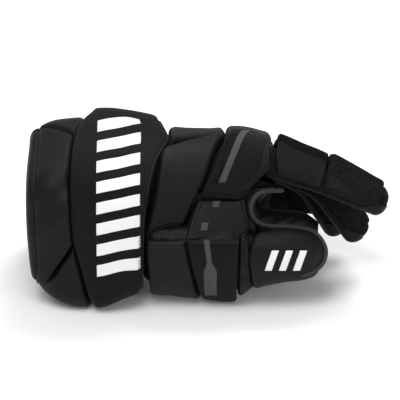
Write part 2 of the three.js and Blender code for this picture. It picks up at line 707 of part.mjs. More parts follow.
// The floor flattens what rests on it, by the depth that the glove settles
const glove = new THREE.Group();
for (const { name, solid, material, tolerance } of pieces) {
  const flat = largest(solid.trimByPlane([0, 0, 1], SETTLE)).simplify(tolerance);
  const { vertProperties, triVerts } = flat.getMesh();
  const geometry = new THREE.BufferGeometry();
  geometry.setAttribute("position", new THREE.BufferAttribute(new Float32Array(vertProperties), 3));
  geometry.setIndex(new THREE.BufferAttribute(new Uint32Array(triVerts), 1));
  geometry.computeVertexNormals();
  const [color, roughness] = COLOURS[material];
  const mesh = new THREE.Mesh(geometry, new THREE.MeshStandardMaterial({ color, roughness, metalness: 0 }));
  mesh.name = name;
  glove.add(mesh);
}

// The origin is the middle of the bounding box, on the floor
const bounds = new THREE.Box3().setFromObject(glove);
glove.position.set(
  -(bounds.min.x + bounds.max.x) / 2,
  -(bounds.min.y + bounds.max.y) / 2,
  -bounds.min.z,
);

export default glove;
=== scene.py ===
"""Looks of a left-hand ice hockey glove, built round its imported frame.

Lengths are in millimetres in the glove's own construction frame and become metres when a mesh is made.
X runs from the cuff to the fingertips, -Y is the thumb side and Z is up. Angles go round a section in
degrees: 0 little-finger side, 90 back, 180 thumb side, 270 palm.
"""

import logging
import math
from collections.abc import Callable, Sequence
from dataclasses import dataclass, field
from enum import Enum
from functools import cache
from typing import Any

import bpy
import numpy as np
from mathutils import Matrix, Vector


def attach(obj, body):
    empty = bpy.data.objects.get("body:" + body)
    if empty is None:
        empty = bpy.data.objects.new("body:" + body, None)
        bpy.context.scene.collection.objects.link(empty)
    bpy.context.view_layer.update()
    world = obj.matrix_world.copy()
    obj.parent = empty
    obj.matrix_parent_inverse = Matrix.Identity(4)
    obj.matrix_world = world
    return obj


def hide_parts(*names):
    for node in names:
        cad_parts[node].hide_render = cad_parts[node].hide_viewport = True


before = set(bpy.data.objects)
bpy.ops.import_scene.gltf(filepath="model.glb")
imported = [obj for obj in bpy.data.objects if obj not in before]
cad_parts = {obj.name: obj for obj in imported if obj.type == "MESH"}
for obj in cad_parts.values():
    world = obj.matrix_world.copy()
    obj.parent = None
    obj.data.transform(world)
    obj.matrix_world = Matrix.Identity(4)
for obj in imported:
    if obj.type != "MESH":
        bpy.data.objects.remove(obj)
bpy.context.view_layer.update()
LOG = logging.getLogger("glove")

BODY = "root"
MM = 0.001
SHIFT = np.array([1.989, 0.310, -1.8])
FLOOR_CLEAR = 0.25

# Driving lengths, as the solids have them
CUFF_LENGTH, ROLL_LENGTH, HAND_LENGTH, THUMB_REACH = 44.0, 70.0, 112.0, 162.0
KNUCKLES_X, ROLL_WIDTH, ROLL_HEIGHT = 58.0, 162.0, 154.0
HAND_WIDTH, HAND_DEPTH, HAND_RISE = 80.0, 56.0, 106.0
THUMB_WIDTH, THUMB_DEPTH = 42.0, 77.0
FINGER_WIDTH, FINGER_DEPTH, FINGER_TIP = 24.4, 26.0, 9.0
GAP, SUNK, FINGER_WALL = 0.3, 1.2, 1.8
CUFF_PAD, ROLL_PAD, HAND_PAD, CENTRE_PAD, SIDE_PAD = 9.0, 12.0, 9.7, 11.5, 9.0
THUMB_PAD, CAP_PAD, PANEL_PAD, WEB_PAD = 7.7, 6.7, 4.5, 3.2
ROLL_FRONT_X = KNUCKLES_X - HAND_LENGTH
ROLL_REAR_X = ROLL_FRONT_X - ROLL_LENGTH
OPENING_X = ROLL_REAR_X - CUFF_LENGTH
CUFF_BACK_SQUARE, CUFF_PALM_SQUARE = 3.6, 5.9

# How deep a pad's underside lies in what carries it, and a distance from the edge at which neither wear nor the
# painted edge highlight pales the colour
ROOT = 0.6
FAR = 9.0

# The photograph: millimetres for each pixel, the view's height, and the pixel of the frame's origin
PIXEL = 0.93
ELEVATION = 30.0
ORIGIN_PIXEL = (208.5, 276.0)
PHOTO_SIZE = 400
TO_CAMERA = np.array([0.0, -0.87, 0.5])

Array = np.ndarray
Pixel = tuple[float, float]
Rows = list[dict[str, Any]]


def table(columns: str, *lines: Sequence[Any]) -> Rows:
    """Rows with named columns: one dictionary for each line of values."""
    return [dict(zip(columns.split(), line, strict=True)) for line in lines]


CUFF_SECTIONS = table(
    "along width top under",
    (0, 0.765, 0.857, 0.201),
    (0.18, 0.827, 0.886, 0.143),
    (0.52, 0.907, 0.922, 0.052),
    (0.95, 0.938, 0.935, 0),
    (1.36, 0.951, 0.942, -0.008),
)
ROLL_SECTIONS = table(
    "along width top under",
    (-0.06, 0.951, 0.955, -0.006),
    (0.2, 0.994, 0.994, -0.01),
    (0.41, 1, 1, 0.004),
    (0.63, 0.988, 0.99, 0.052),
    (0.84, 0.951, 0.981, 0.084),
    (1.06, 0.901, 0.961, 0.104),
    (1.26, 0.827, 0.935, 0.13),
)
HAND_SECTIONS = table(
    "along side up width depth slope lean square",
    (-0.02, -0.012, 0.887, 0.66, 0.74, 0.12, 0.2, 3.2),
    (0.17, 0.012, 0.935, 0.56, 0.63, 0.22, 0.44, 3.1),
    (0.48, 0.038, 0.955, 0.5, 0.58, 0.3, 0.54, 3.2),
    (0.75, 0.062, 0.975, 0.5, 0.58, 0.34, 0.52, 3.2),
    (1, 0.14, 1.05, 0.57, 0.36, 0.42, 0.3, 3.2),
)
THUMB_SECTIONS = table(
    "along side up width depth lean square",
    (-0.15, -0.42, 0.82, 0.38, 0.3, -0.15, 2.4),
    (-0.02, -0.565, 0.67, 0.48, 0.44, -0.25, 2.4),
    (0.15, -0.6, 0.65, 0.5, 0.48, -0.27, 2.3),
    (0.33, -0.612, 0.63, 0.5, 0.51, -0.27, 2.3),
    (0.49, -0.625, 0.605, 0.49, 0.49, -0.25, 2.3),
    (0.58, -0.638, 0.65, 0.45, 0.345, -0.2, 2.4),
    (0.765, -0.65, 0.72, 0.43, 0.28, -0.15, 2.6),
    (0.9, -0.625, 0.715, 0.37, 0.23, -0.1, 2.6),
    (0.965, -0.612, 0.715, 0.22, 0.14, -0.1, 2.4),
)
ROLL_EDGES = table(
    "rear rear_angle front front_angle",
    (0.28, -70, 0.88, -62),
    (0.06, -12, 1.04, -12),
    (0.18, 48, 1.13, 48),
    (0.03, 70, 1.24, 74),
    (-0.03, 100, 1.18, 94),
    (-0.04, 135, 1.02, 132),
    (-0.02, 172, 0.94, 160),
    (0.09, 200, 0.92, 195),
    (0.3, 246, 0.9, 240),
)


class Table:
    """Columns of values over a place s, joined by a cubic and straight past both ends."""

    def __init__(self, rows: Rows) -> None:
        """Keep the rows, each with its place s and the other columns."""
        self.rows = rows
        self.places = np.array([row["s"] for row in rows], float)

    def column(self, key: str, s: Array) -> Array:
        """Values of one column at the places s.

        Args:
            key: the column's name.
            s: places along the table.

        Returns:
            An array in the shape of s.
        """
        x = self.places
        y = np.array([row[key] for row in self.rows], float)
        last = len(x) - 1
        index = np.arange(len(x))
        before, after = np.maximum(index - 1, 0), np.minimum(index + 1, last)
        tangent = (y[after] - y[before]) / (x[after] - x[before])
        s = np.asarray(s, float)
        i = np.clip(np.searchsorted(x, s, side="right") - 1, 0, last - 1)
        span = x[i + 1] - x[i]
        t = (s - x[i]) / span
        here = y[i] * (1 + 2 * t) + span * tangent[i] * t
        there = y[i + 1] * (3 - 2 * t) - span * tangent[i + 1] * (1 - t)
        inside = here * (1 - t) ** 2 + there * t**2
        past = y[last] + tangent[last] * (s - x[last])
        short = y[0] + tangent[0] * (s - x[0])
        return np.where(s <= x[0], short, np.where(s >= x[last], past, inside))


class Skin(Table):
    """A surface lofted through rounded sections, with the same formulas as the solids."""

    LEVEL = {"slope": 0.0, "lean": 0.0, "square_back": 3.0, "square_palm": 3.0, "pitch": 0.0, "roll": 0.0}
    STEP = 0.5

    def __init__(self, rows: Rows) -> None:
        """Keep sections with s, x, side, up, half_width and half_height, and fill in what a plain one leaves out."""
        super().__init__([{**self.LEVEL, **row} for row in rows])

    def inset(self, depth: float) -> "Skin":
        """The skin that lies a depth further in."""
        return Skin([
            {**row, "half_width": row["half_width"] - depth, "half_height": row["half_height"] - depth}
            for row in self.rows
        ])

    def middle(self, s: Array) -> Array:
        """Middles of the sections at s."""
        return np.stack([self.column(key, s) for key in ("x", "side", "up")], -1)

    def local(self, s: Array, side: Array, up: Array) -> Array:
        """Points that lie (side, up) from the sections' middles, in the sections' own planes.

        Args:
            s: places along the skin.
            side: distance towards the little finger.
            up: distance towards the back.

        Returns:
            Points, with x, y and z in the last axis.
        """
        roll = np.radians(self.column("roll", s))
        pitch = np.radians(self.column("pitch", s))
        y = side * np.cos(roll) + up * np.sin(roll)
        z = up * np.cos(roll) - side * np.sin(roll)
        return self.middle(s) + np.stack([z * np.sin(pitch), y, z * np.cos(pitch)], -1)

    def raw(self, s: Array, angle: Array) -> Array:
        """Points of the skin at places s and angles in degrees."""
        s, angle = np.broadcast_arrays(np.asarray(s, float), np.asarray(angle, float))
        c, q = np.cos(np.radians(angle)), np.sin(np.radians(angle))
        back, palm = self.column("square_back", s), self.column("square_palm", s)
        square = back * (0.5 + 0.5 * q) + palm * (0.5 - 0.5 * q)
        reach = (np.abs(c) ** square + np.abs(q) ** square) ** (-1 / square)
        across = self.column("half_width", s) * reach * c
        over = self.column("half_height", s) * reach * q
        side = across + self.column("lean", s) * over
        up = over - self.column("slope", s) * across
        return self.local(s, side, up)

    def point(self, s: Array, angle: Array, height: Array = 0.0) -> Array:
        """Points at a height above the skin, along its normal.

        Args:
            s: places along the skin.
            angle: angles round the section, in degrees.
            height: heights above the skin.

        Returns:
            Points, with x, y and z in the last axis.
        """
        s, angle = np.broadcast_arrays(np.asarray(s, float), np.asarray(angle, float))
        at = self.raw(s, angle)
        along = self.raw(s + self.STEP, angle) - self.raw(s - self.STEP, angle)
        around = self.raw(s, angle + self.STEP) - self.raw(s, angle - self.STEP)
        normal = unit(np.cross(around, along))
        outward = np.sum(normal * (at - self.middle(s)), -1, keepdims=True)
        return at + np.where(outward < 0, -normal, normal) * np.asarray(height)[..., None]


def unit(vectors: Array) -> Array:
    """Vectors scaled to length one."""
    return vectors / np.maximum(np.linalg.norm(vectors, axis=-1, keepdims=True), 1e-9)


def travelled(points: Array, axis: int = 0) -> Array:
    """Distances from the first point along one axis of a line or a grid of points."""
    steps = np.linalg.norm(np.diff(points, axis=axis), axis=-1)
    return np.insert(np.cumsum(steps, axis), 0, 0.0, axis)


def cuff_rows(sections: Rows, start: float, length: float) -> Rows:
    """Sections of the cuff or the roll in millimetres.

    Args:
        sections: shares of the roll's width and height.
        start: where the stretch starts along X.
        length: its length.

    Returns:
        Rows for a Skin.
    """
    return [
        {
            "s": start + row["along"] * length,
            "x": start + row["along"] * length,
            "side": 0.0,
            "up": ROLL_HEIGHT * (row["top"] + row["under"]) / 2,
            "half_width": ROLL_WIDTH * row["width"] / 2,
            "half_height": ROLL_HEIGHT * (row["top"] - row["under"]) / 2,
            "square_back": CUFF_BACK_SQUARE,
            "square_palm": CUFF_PALM_SQUARE,
        }
        for row in sections
    ]


def limb_rows(sections: Rows, reach: float, width: float, rise: float, depth: float) -> Rows:
    """Sections of the hand or the thumb in millimetres.

    Args:
        sections: shares of the sizes that follow.
        reach: length from the roll's front.
        width: size that the widths are shares of.
        rise: size that the heights above the floor are shares of.
        depth: size that the half heights are shares of.

    Returns:
        Rows for a Skin.
    """
    return [
        {
            "s": ROLL_FRONT_X + row["along"] * reach,
            "x": ROLL_FRONT_X + row["along"] * reach,
            "side": row["side"] * HAND_WIDTH,
            "up": row["up"] * rise,
            "half_width": row["width"] * width,
            "half_height": row["depth"] * depth,
            "slope": row.get("slope", 0.0),
            "lean": row["lean"],
            "square_back": row["square"],
            "square_palm": row["square"],
        }
        for row in sections
    ]


CUFF_SKIN = Skin(cuff_rows(CUFF_SECTIONS, OPENING_X, CUFF_LENGTH))
ROLL_SKIN = Skin(cuff_rows(ROLL_SECTIONS, ROLL_REAR_X, ROLL_LENGTH))
HAND_SKIN = Skin([
    *CUFF_SKIN.inset(CUFF_PAD + GAP).rows[:4],
    *ROLL_SKIN.inset(ROLL_PAD + GAP).rows[1:4],
    *limb_rows(HAND_SECTIONS, HAND_LENGTH, HAND_WIDTH, HAND_RISE, HAND_DEPTH),
])
THUMB_SKIN = Skin(limb_rows(THUMB_SECTIONS, THUMB_REACH, THUMB_WIDTH, THUMB_DEPTH, THUMB_DEPTH))


@dataclass(frozen=True)
class Stretch:
    """A stretch of the glove along X, in which a place is a share of the length."""

    start: float
    length: float

    def __call__(self, share: Array) -> Array:
        """The place of a share."""
        return self.start + np.asarray(share) * self.length


hand_along = Stretch(ROLL_FRONT_X, HAND_LENGTH)
thumb_along = Stretch(ROLL_FRONT_X, THUMB_REACH)
roll_along = Stretch(ROLL_REAR_X, ROLL_LENGTH)
cuff_along = Stretch(OPENING_X, CUFF_LENGTH)


class Ripple:
    """A smooth uneven height between about -1 and 1, made of a few seeded waves."""

    WAVES = 14

    def __init__(self, seed: int, size: float, stretch: Sequence[float] = (1, 1, 1)) -> None:
        """Choose the waves.

        Args:
            seed: what makes this ripple unlike another.
            size: the waves' length.
            stretch: how much longer the waves are along X, Y and Z.
        """
        chance = np.random.default_rng(seed)
        direction = unit(chance.normal(size=(self.WAVES, 3)))
        length = size * chance.uniform(0.6, 1.7, (self.WAVES, 1))
        self.turns = 2 * math.pi * direction / length / np.array(stretch)
        self.phase = chance.uniform(0, 2 * math.pi, self.WAVES)

    def __call__(self, points: Array) -> Array:
        """Heights at points in millimetres."""
        return np.sin(points @ self.turns.T + self.phase).sum(-1) / math.sqrt(self.WAVES * 2)


# Shader expressions


class Value:
    """A number socket of a shader that takes Python's operators."""

    def __init__(self, shade: "Shade", socket: bpy.types.NodeSocket) -> None:
        """Wrap an output socket that gives a number."""
        self.shade = shade
        self.socket = socket

    def math(self, operation: str, *others: "Value | float", first: bool = True) -> "Value":
        """The result of one Math node, with this value as its first input or else its last."""
        inputs = [self, *others] if first else [*others, self]
        return self.shade.node("ShaderNodeMath", {"operation": operation}, dict(enumerate(inputs))).value()

    def __add__(self, other: "Value | float") -> "Value":
        """This plus another."""
        return self.math("ADD", other)

    __radd__ = __add__

    def __mul__(self, other: "Value | float") -> "Value":
        """This times another."""
        return self.math("MULTIPLY", other)

    __rmul__ = __mul__

    def __rsub__(self, other: float) -> "Value":
        """A number less this."""
        return self.math("SUBTRACT", other, first=False)

    def sine(self) -> "Value":
        """Sine of this, taken as an angle."""
        return self.math("SINE")

    def ridge(self, pitch: float, offset: float = 0.0) -> "Value":
        """A wave between 0 and 1 that repeats at a pitch."""
        return (self * (2 * math.pi / pitch) + offset).sine() * 0.5 + 0.5

    def between(self, low: float, high: float) -> "Value":
        """0 below the low value, 1 above the high one, and smooth between them."""
        settings = {"interpolation_type": "SMOOTHSTEP", "clamp": True}
        return self.shade.node("ShaderNodeMapRange", settings, {"Value": self, 1: low, 2: high}).value()


class Built:
    """A shader node that was added, with its outputs to hand."""

    def __init__(self, shade: "Shade", node: bpy.types.Node) -> None:
        """Keep the node."""
        self.shade = shade
        self.node = node

    def out(self, name: str | int = 0) -> bpy.types.NodeSocket:
        """An output socket, by name or number."""
        return self.node.outputs[name]

    def value(self, name: str | int = 0) -> Value:
        """An output that gives a number."""
        return Value(self.shade, self.node.outputs[name])


class Shade:
    """One material and its shader tree."""

    def __init__(self, name: str) -> None:
        """Start a material with nothing but its output.

        Args:
            name: the material's name.
        """
        self.material = bpy.data.materials.new(name)
        self.material.use_nodes = True
        self.tree = self.material.node_tree
        self.tree.nodes.clear()
        self.output = self.tree.nodes.new("ShaderNodeOutputMaterial")

    def node(self, kind: str, settings: dict[str, object], values: dict[str | int, object]) -> Built:
        """Add one node.

        Args:
            kind: the node's type.
            settings: its properties, which are set first.
            values: values or links for its inputs, by name or number.

        Returns:
            The node.
        """
        node = self.tree.nodes.new(kind)
        for key, setting in settings.items():
            setattr(node, key, setting)
        for key, value in values.items():
            socket = value.socket if isinstance(value, Value) else value
            if isinstance(socket, bpy.types.NodeSocket):
                self.tree.links.new(socket, node.inputs[key])
            else:
                node.inputs[key].default_value = socket
        return Built(self, node)

    def lay(self) -> tuple[Value, Value, Value]:
        """Millimetres along and round a piece, and from its edge, as its mesh keeps them."""
        lay = self.node("ShaderNodeAttribute", {"attribute_name": "lay"}, {})
        split = self.node("ShaderNodeSeparateXYZ", {}, {0: lay.out("Vector")})
        return split.value(0), split.value(1), split.value(2)

    def place(self) -> bpy.types.NodeSocket:
        """Place on the object, in metres."""
        return self.node("ShaderNodeTexCoord", {}, {}).out("Object")

    def noise(self, size: float, detail: float = 3.0, rough: float = 0.55) -> Value:
        """Noise with grains of a size in millimetres."""
        values = {"Vector": self.place(), "Scale": 1000 / size, "Detail": detail, "Roughness": rough}
        return self.node("ShaderNodeTexNoise", {}, values).value("Fac")

    def cells(self, size: float, feature: str = "F1") -> Value:
        """Distance in a pattern of cells of a size in millimetres."""
        values = {"Vector": self.place(), "Scale": 1000 / size}
        return self.node("ShaderNodeTexVoronoi", {"feature": feature}, values).value("Distance")

    def mix(self, factor: Value, low: Sequence[float], high: Sequence[float]) -> bpy.types.NodeSocket:
        """A colour between two others."""
        settings = {"data_type": "RGBA", "blend_type": "MIX"}
        values = {0: factor, 6: (*low, 1), 7: (*high, 1)}
        return self.node("ShaderNodeMix", settings, values).out(2)


@dataclass(frozen=True)
class Finish:
    """A surface: its colours, its gloss and the height of its grain."""

    name: str
    slot: str
    dark: tuple[float, float, float]
    light: tuple[float, float, float]
    rough: tuple[float, float]
    specular: float = 0.3
    sheen: float = 0.0
    depth: float = 1.0

    def relief(self, shade: Shade) -> Value:
        """Height of the grain in millimetres."""
        return shade.noise(0.8) * 0.05

    def tone(self, shade: Shade) -> Value:
        """How far the colour is from dark to light, from 0 to 1."""
        return shade.noise(14.0, 4.0)

    def build(self) -> bpy.types.Material:
        """Make the material.

        Returns:
            The material, ready for a mesh.
        """
        shade = Shade(self.name)
        tone = self.tone(shade)
        relief = self.relief(shade) * self.depth
        bump = shade.node("ShaderNodeBump", {}, {"Height": relief, "Distance": MM, "Strength": 1.0})
        low, high = self.rough
        gloss = shade.noise(6.0, 2.0) * (high - low) + low
        values = {
            "Base Color": shade.mix(tone, self.dark, self.light),
            "Roughness": gloss,
            "Normal": bump.out(),
            "Specular IOR Level": self.specular,
            "Sheen Weight": self.sheen,
            "Sheen Roughness": 0.5,
        }
        surface = shade.node("ShaderNodeBsdfPrincipled", {}, values)
        shade.tree.links.new(surface.out(), shade.output.inputs[0])
        return shade.material


@dataclass(frozen=True)
class Smooth(Finish):
    """Coated cloth with a very fine grain, a little paler near the edges: painted highlight along them, and wear."""

    def relief(self, shade: Shade) -> Value:
        """Fine pebbles over a soft unevenness."""
        return shade.cells(0.9) * 0.06 + shade.noise(9.0, 2.0) * 0.35

    def tone(self, shade: Shade) -> Value:
        """Paler near the edges: painted highlight along them, and wear where hands rub them."""
        _, _, edge = shade.lay()
        # Paler within a few millimetres of the edge: painted highlight along the edges, and wear.
        worn_and_highlit = 1 - edge.between(1.0, 6.0)
        return shade.noise(12.0, 4.0) * 0.6 + worn_and_highlit * shade.noise(2.5) * 0.7


@dataclass(frozen=True)
class Ribbed(Finish):
    """Nylon with fine ribs that run round the glove."""

    pitch: float = 1.9

    def relief(self, shade: Shade) -> Value:
        """Ribs crossed by the yarn's shorter beads."""
        along, around, _ = shade.lay()
        rib = along.ridge(self.pitch)
        bead = around.ridge(self.pitch * 0.55)
        return rib * 0.2 + rib * bead * 0.08 + shade.noise(11.0, 2.0) * 0.3

    def tone(self, shade: Shade) -> Value:
        """Painted shade between the ribs, and paler edges: painted highlight along them, and wear."""
        along, _, edge = shade.lay()
        # Paler near the edges: painted highlight along them, and wear.
        worn_and_highlit = 1 - edge.between(1.0, 7.0)
        # The rib wave darkens the valleys between the ribs as painted shade.
        return along.ridge(self.pitch) * 0.55 + shade.noise(9.0, 3.0) * 0.35 + worn_and_highlit * 0.15


@dataclass(frozen=True)
class Knit(Finish):
    """Coarse knitted mesh with small dark holes and pale specks of painted glint on its yarn."""

    pitch: float = 2.1

    def holes(self, shade: Shade) -> Value:
        """0 in a hole and 1 on the yarn."""
        return shade.cells(self.pitch).between(0.25, 0.75)

    def relief(self, shade: Shade) -> Value:
        """Yarn that stands over the holes."""
        return (1 - self.holes(shade)) * 0.4 + shade.noise(1.0) * 0.15

    def tone(self, shade: Shade) -> Value:
        """Pale specks of painted glint where the yarn catches the light."""
        # Pale specks here are painted glints, not a colour of the yarn.
        painted_glint = shade.noise(1.3, 2.0).between(0.56, 0.72)
        return (1 - self.holes(shade)) * 0.4 + painted_glint * 0.6


@dataclass(frozen=True)
class Leather(Finish):
    """Soft leather with pores and creases, with painted shade in the creases that leaves the ridges between them
    paler.
    """

    def creases(self, shade: Shade) -> Value:
        """0 in a crease and 1 between creases."""
        return shade.cells(5.5, "DISTANCE_TO_EDGE").between(0.0, 0.18)

    def relief(self, shade: Shade) -> Value:
        """Pores and long shallow creases."""
        return shade.cells(1.1) * 0.12 + self.creases(shade) * 0.1 + shade.noise(7.0, 4.0) * 0.5

    def tone(self, shade: Shade) -> Value:
        """Painted shade in the creases: paler away from them."""
        # Painted shade: darker in the creases, paler between them.
        return self.creases(shade) * 0.35 + shade.noise(10.0, 5.0) * 0.6


@dataclass(frozen=True)
class Tape(Finish):
    """Woven tape with a fine slanting twill."""

    pitch: float = 1.2

    def relief(self, shade: Shade) -> Value:
        """Twill lines across the tape."""
        along, around, _ = shade.lay()
        return (along + around).ridge(self.pitch) * 0.12

    def tone(self, shade: Shade) -> Value:
        """Painted shade between the twill lines."""
        along, around, _ = shade.lay()
        # The twill wave darkens the grooves as painted shade.
        return (along + around).ridge(self.pitch) * 0.5 + shade.noise(5.0) * 0.5


@dataclass(frozen=True)
class Thread(Finish):
    """Satin stitching: threads side by side across a mark."""

    pitch: float = 0.8

    def relief(self, shade: Shade) -> Value:
        """Round threads, a little uneven."""
        along, _, _ = shade.lay()
        return along.ridge(self.pitch) * 0.14 + shade.noise(1.5) * 0.05

    def tone(self, shade: Shade) -> Value:
        """Painted shade between the threads."""
        along, _, _ = shade.lay()
        # The thread wave darkens the gaps between threads as painted shade.
        return along.ridge(self.pitch) * 0.6 + shade.noise(2.5) * 0.4


@dataclass(frozen=True)
class Brushed(Finish):
    """Brushed lining with a short nap."""

    def relief(self, shade: Shade) -> Value:
        """Nap."""
        return shade.noise(0.7, 4.0) * 0.3 + shade.noise(6.0) * 0.4


def grey(tone: float, blue: float = 1.0) -> tuple[float, float, float]:
    """A grey with a share of blue."""
    return (tone, tone, tone * blue)


class Cloth(Enum):
    """The glove's finishes."""

    SMOOTH = Smooth("coated_cloth", "smooth", grey(0.0018), grey(0.006), (0.5, 0.64), 0.17)
    RIBBED = Ribbed("ribbed_nylon", "ribbed", grey(0.0016, 1.09), grey(0.0085, 1.1), (0.7, 0.85), 0.12, 0.02)
    MESH = Knit("knitted_mesh", "mesh", grey(0.0005), grey(0.012), (0.7, 0.9), 0.12)
    LEATHER = Leather("soft_leather", "leather", grey(0.001), grey(0.005), (0.46, 0.64), 0.16)
    TAPE = Tape("binding_tape", "piping", grey(0.01), grey(0.03), (0.5, 0.7), 0.3, 0.03)
    STRIPE = Tape("grey_stripe", "piping", grey(0.028), grey(0.07), (0.6, 0.8), 0.25, 0.03, pitch=0.9)
    THREAD = Thread("white_thread", "piping", grey(0.7), grey(0.9), (0.5, 0.7), 0.3, 0.05)
    SEAM = Thread("black_thread", "piping", grey(0.008), grey(0.02), (0.5, 0.7), 0.25)
    SPACER = Knit("spacer_weave", "ribbed", grey(0.0012), grey(0.016), (0.7, 0.9), 0.14, pitch=1.6)
    LINING = Brushed("brushed_lining", "lining", grey(0.0015), grey(0.006), (0.85, 0.95), 0.1, 0.02)


@cache
def material_of(cloth: Cloth) -> bpy.types.Material:
    """The material of a finish, made at its first use."""
    return cloth.value.build()


# Meshes


@dataclass
class Net:
    """Points, faces and the lay of the cloth at each point."""

    points: list[Array] = field(default_factory=list)
    faces: list[Array] = field(default_factory=list)
    lays: list[Array] = field(default_factory=list)
    count: int = 0

    def add(self, points: Array, faces: Array, lay: Array) -> None:
        """Add a closed form, turned so that its faces point out.

        Args:
            points: its points.
            faces: its four-sided faces; a three-sided one repeats its last corner.
            lay: millimetres along, round and from the edge at each point.
        """
        a, b, c, d = (points[faces[:, i]] for i in range(4))
        volume = np.sum(a * np.cross(b, c)) + np.sum(a * np.cross(c, d))
        self.faces.append((faces if volume > 0 else faces[:, ::-1]) + self.count)
        self.points.append(points)
        self.lays.append(lay)
        self.count += len(points)

    def piece(self, name: str, cloth: Cloth) -> bpy.types.Object:
        """Make one smooth mesh object of all that was added.

        Args:
            name: the piece's name.
            cloth: its finish.

        Returns:
            The object, riding on the glove.
        """
        points = (np.concatenate(self.points) + SHIFT) * MM
        points[:, 2] = np.maximum(points[:, 2], FLOOR_CLEAR * MM)
        mesh = bpy.data.meshes.new(name)
        corners = [list(dict.fromkeys(face)) for face in np.concatenate(self.faces).tolist()]
        mesh.from_pydata(points.tolist(), [], corners)
        mesh.shade_smooth()
        lay = mesh.attributes.new("lay", "FLOAT_VECTOR", "POINT")
        lay.data.foreach_set("vector", np.concatenate(self.lays).astype(np.float32).ravel())
        return dressed(bpy.data.objects.new(name, mesh), cloth)


def dressed(piece: bpy.types.Object, cloth: Cloth) -> bpy.types.Object:
    """Put a piece into the scene with its finish, riding on the glove.

    Args:
        piece: the new object.
        cloth: its finish.

    Returns:
        The same object.
    """
    bpy.context.scene.collection.objects.link(piece)
    piece.data.materials.clear()
    piece.data.materials.append(material_of(cloth))
    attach(piece, BODY)
    return piece


def sheet_faces(rows: int, columns: int, start: int = 0) -> Array:
    """Four-sided faces of a grid of points.

    Args:
        rows: points along the first axis.
        columns: points along the second axis.
        start: number of the first point.

    Returns:
        Corner numbers, one face in each row.
    """
    index = np.arange(rows * columns).reshape(rows, columns) + start
    corners = [index[:-1, :-1], index[1:, :-1], index[1:, 1:], index[:-1, 1:]]
    return np.stack([corner.ravel() for corner in corners], -1)


def closed_sheet(over: Array, under: Array) -> tuple[Array, Array]:
    """Closed form between two grids of points.

    Args:
        over: the outer grid.
        under: the inner grid, in the same shape.

    Returns:
        Points and faces.
    """
    rows, columns = over.shape[:2]
    half = rows * columns
    index = np.arange(half).reshape(rows, columns)
    rim = np.concatenate([index[:, 0], index[-1, 1:], index[-2::-1, -1], index[0, -2:0:-1]])
    following = np.roll(rim, -1)
    wall = np.stack([following, rim, rim + half, following + half], -1)
    faces = [sheet_faces(rows, columns), sheet_faces(rows, columns, half)[:, ::-1], wall]
    return np.concatenate([over.reshape(-1, 3), under.reshape(-1, 3)]), np.concatenate(faces)


def clustered(count: int, evenness: float = 0.35) -> Array:
    """Shares from 0 to 1 that lie closer together near both ends."""
    even = np.linspace(0, 1, count + 1)
    return evenness * even + (1 - evenness) * (0.5 - 0.5 * np.cos(math.pi * even))


@dataclass(frozen=True)
class Edge:
    """How far each side of a pad is rounded off, and how thick the pad is at its hem."""

    rear: float = 7.0
    front: float = 7.0
    start: float = 6.0
    end: float = 6.0
    hem: float = 0.25


Sheet = Callable[[Array, Array], Array]


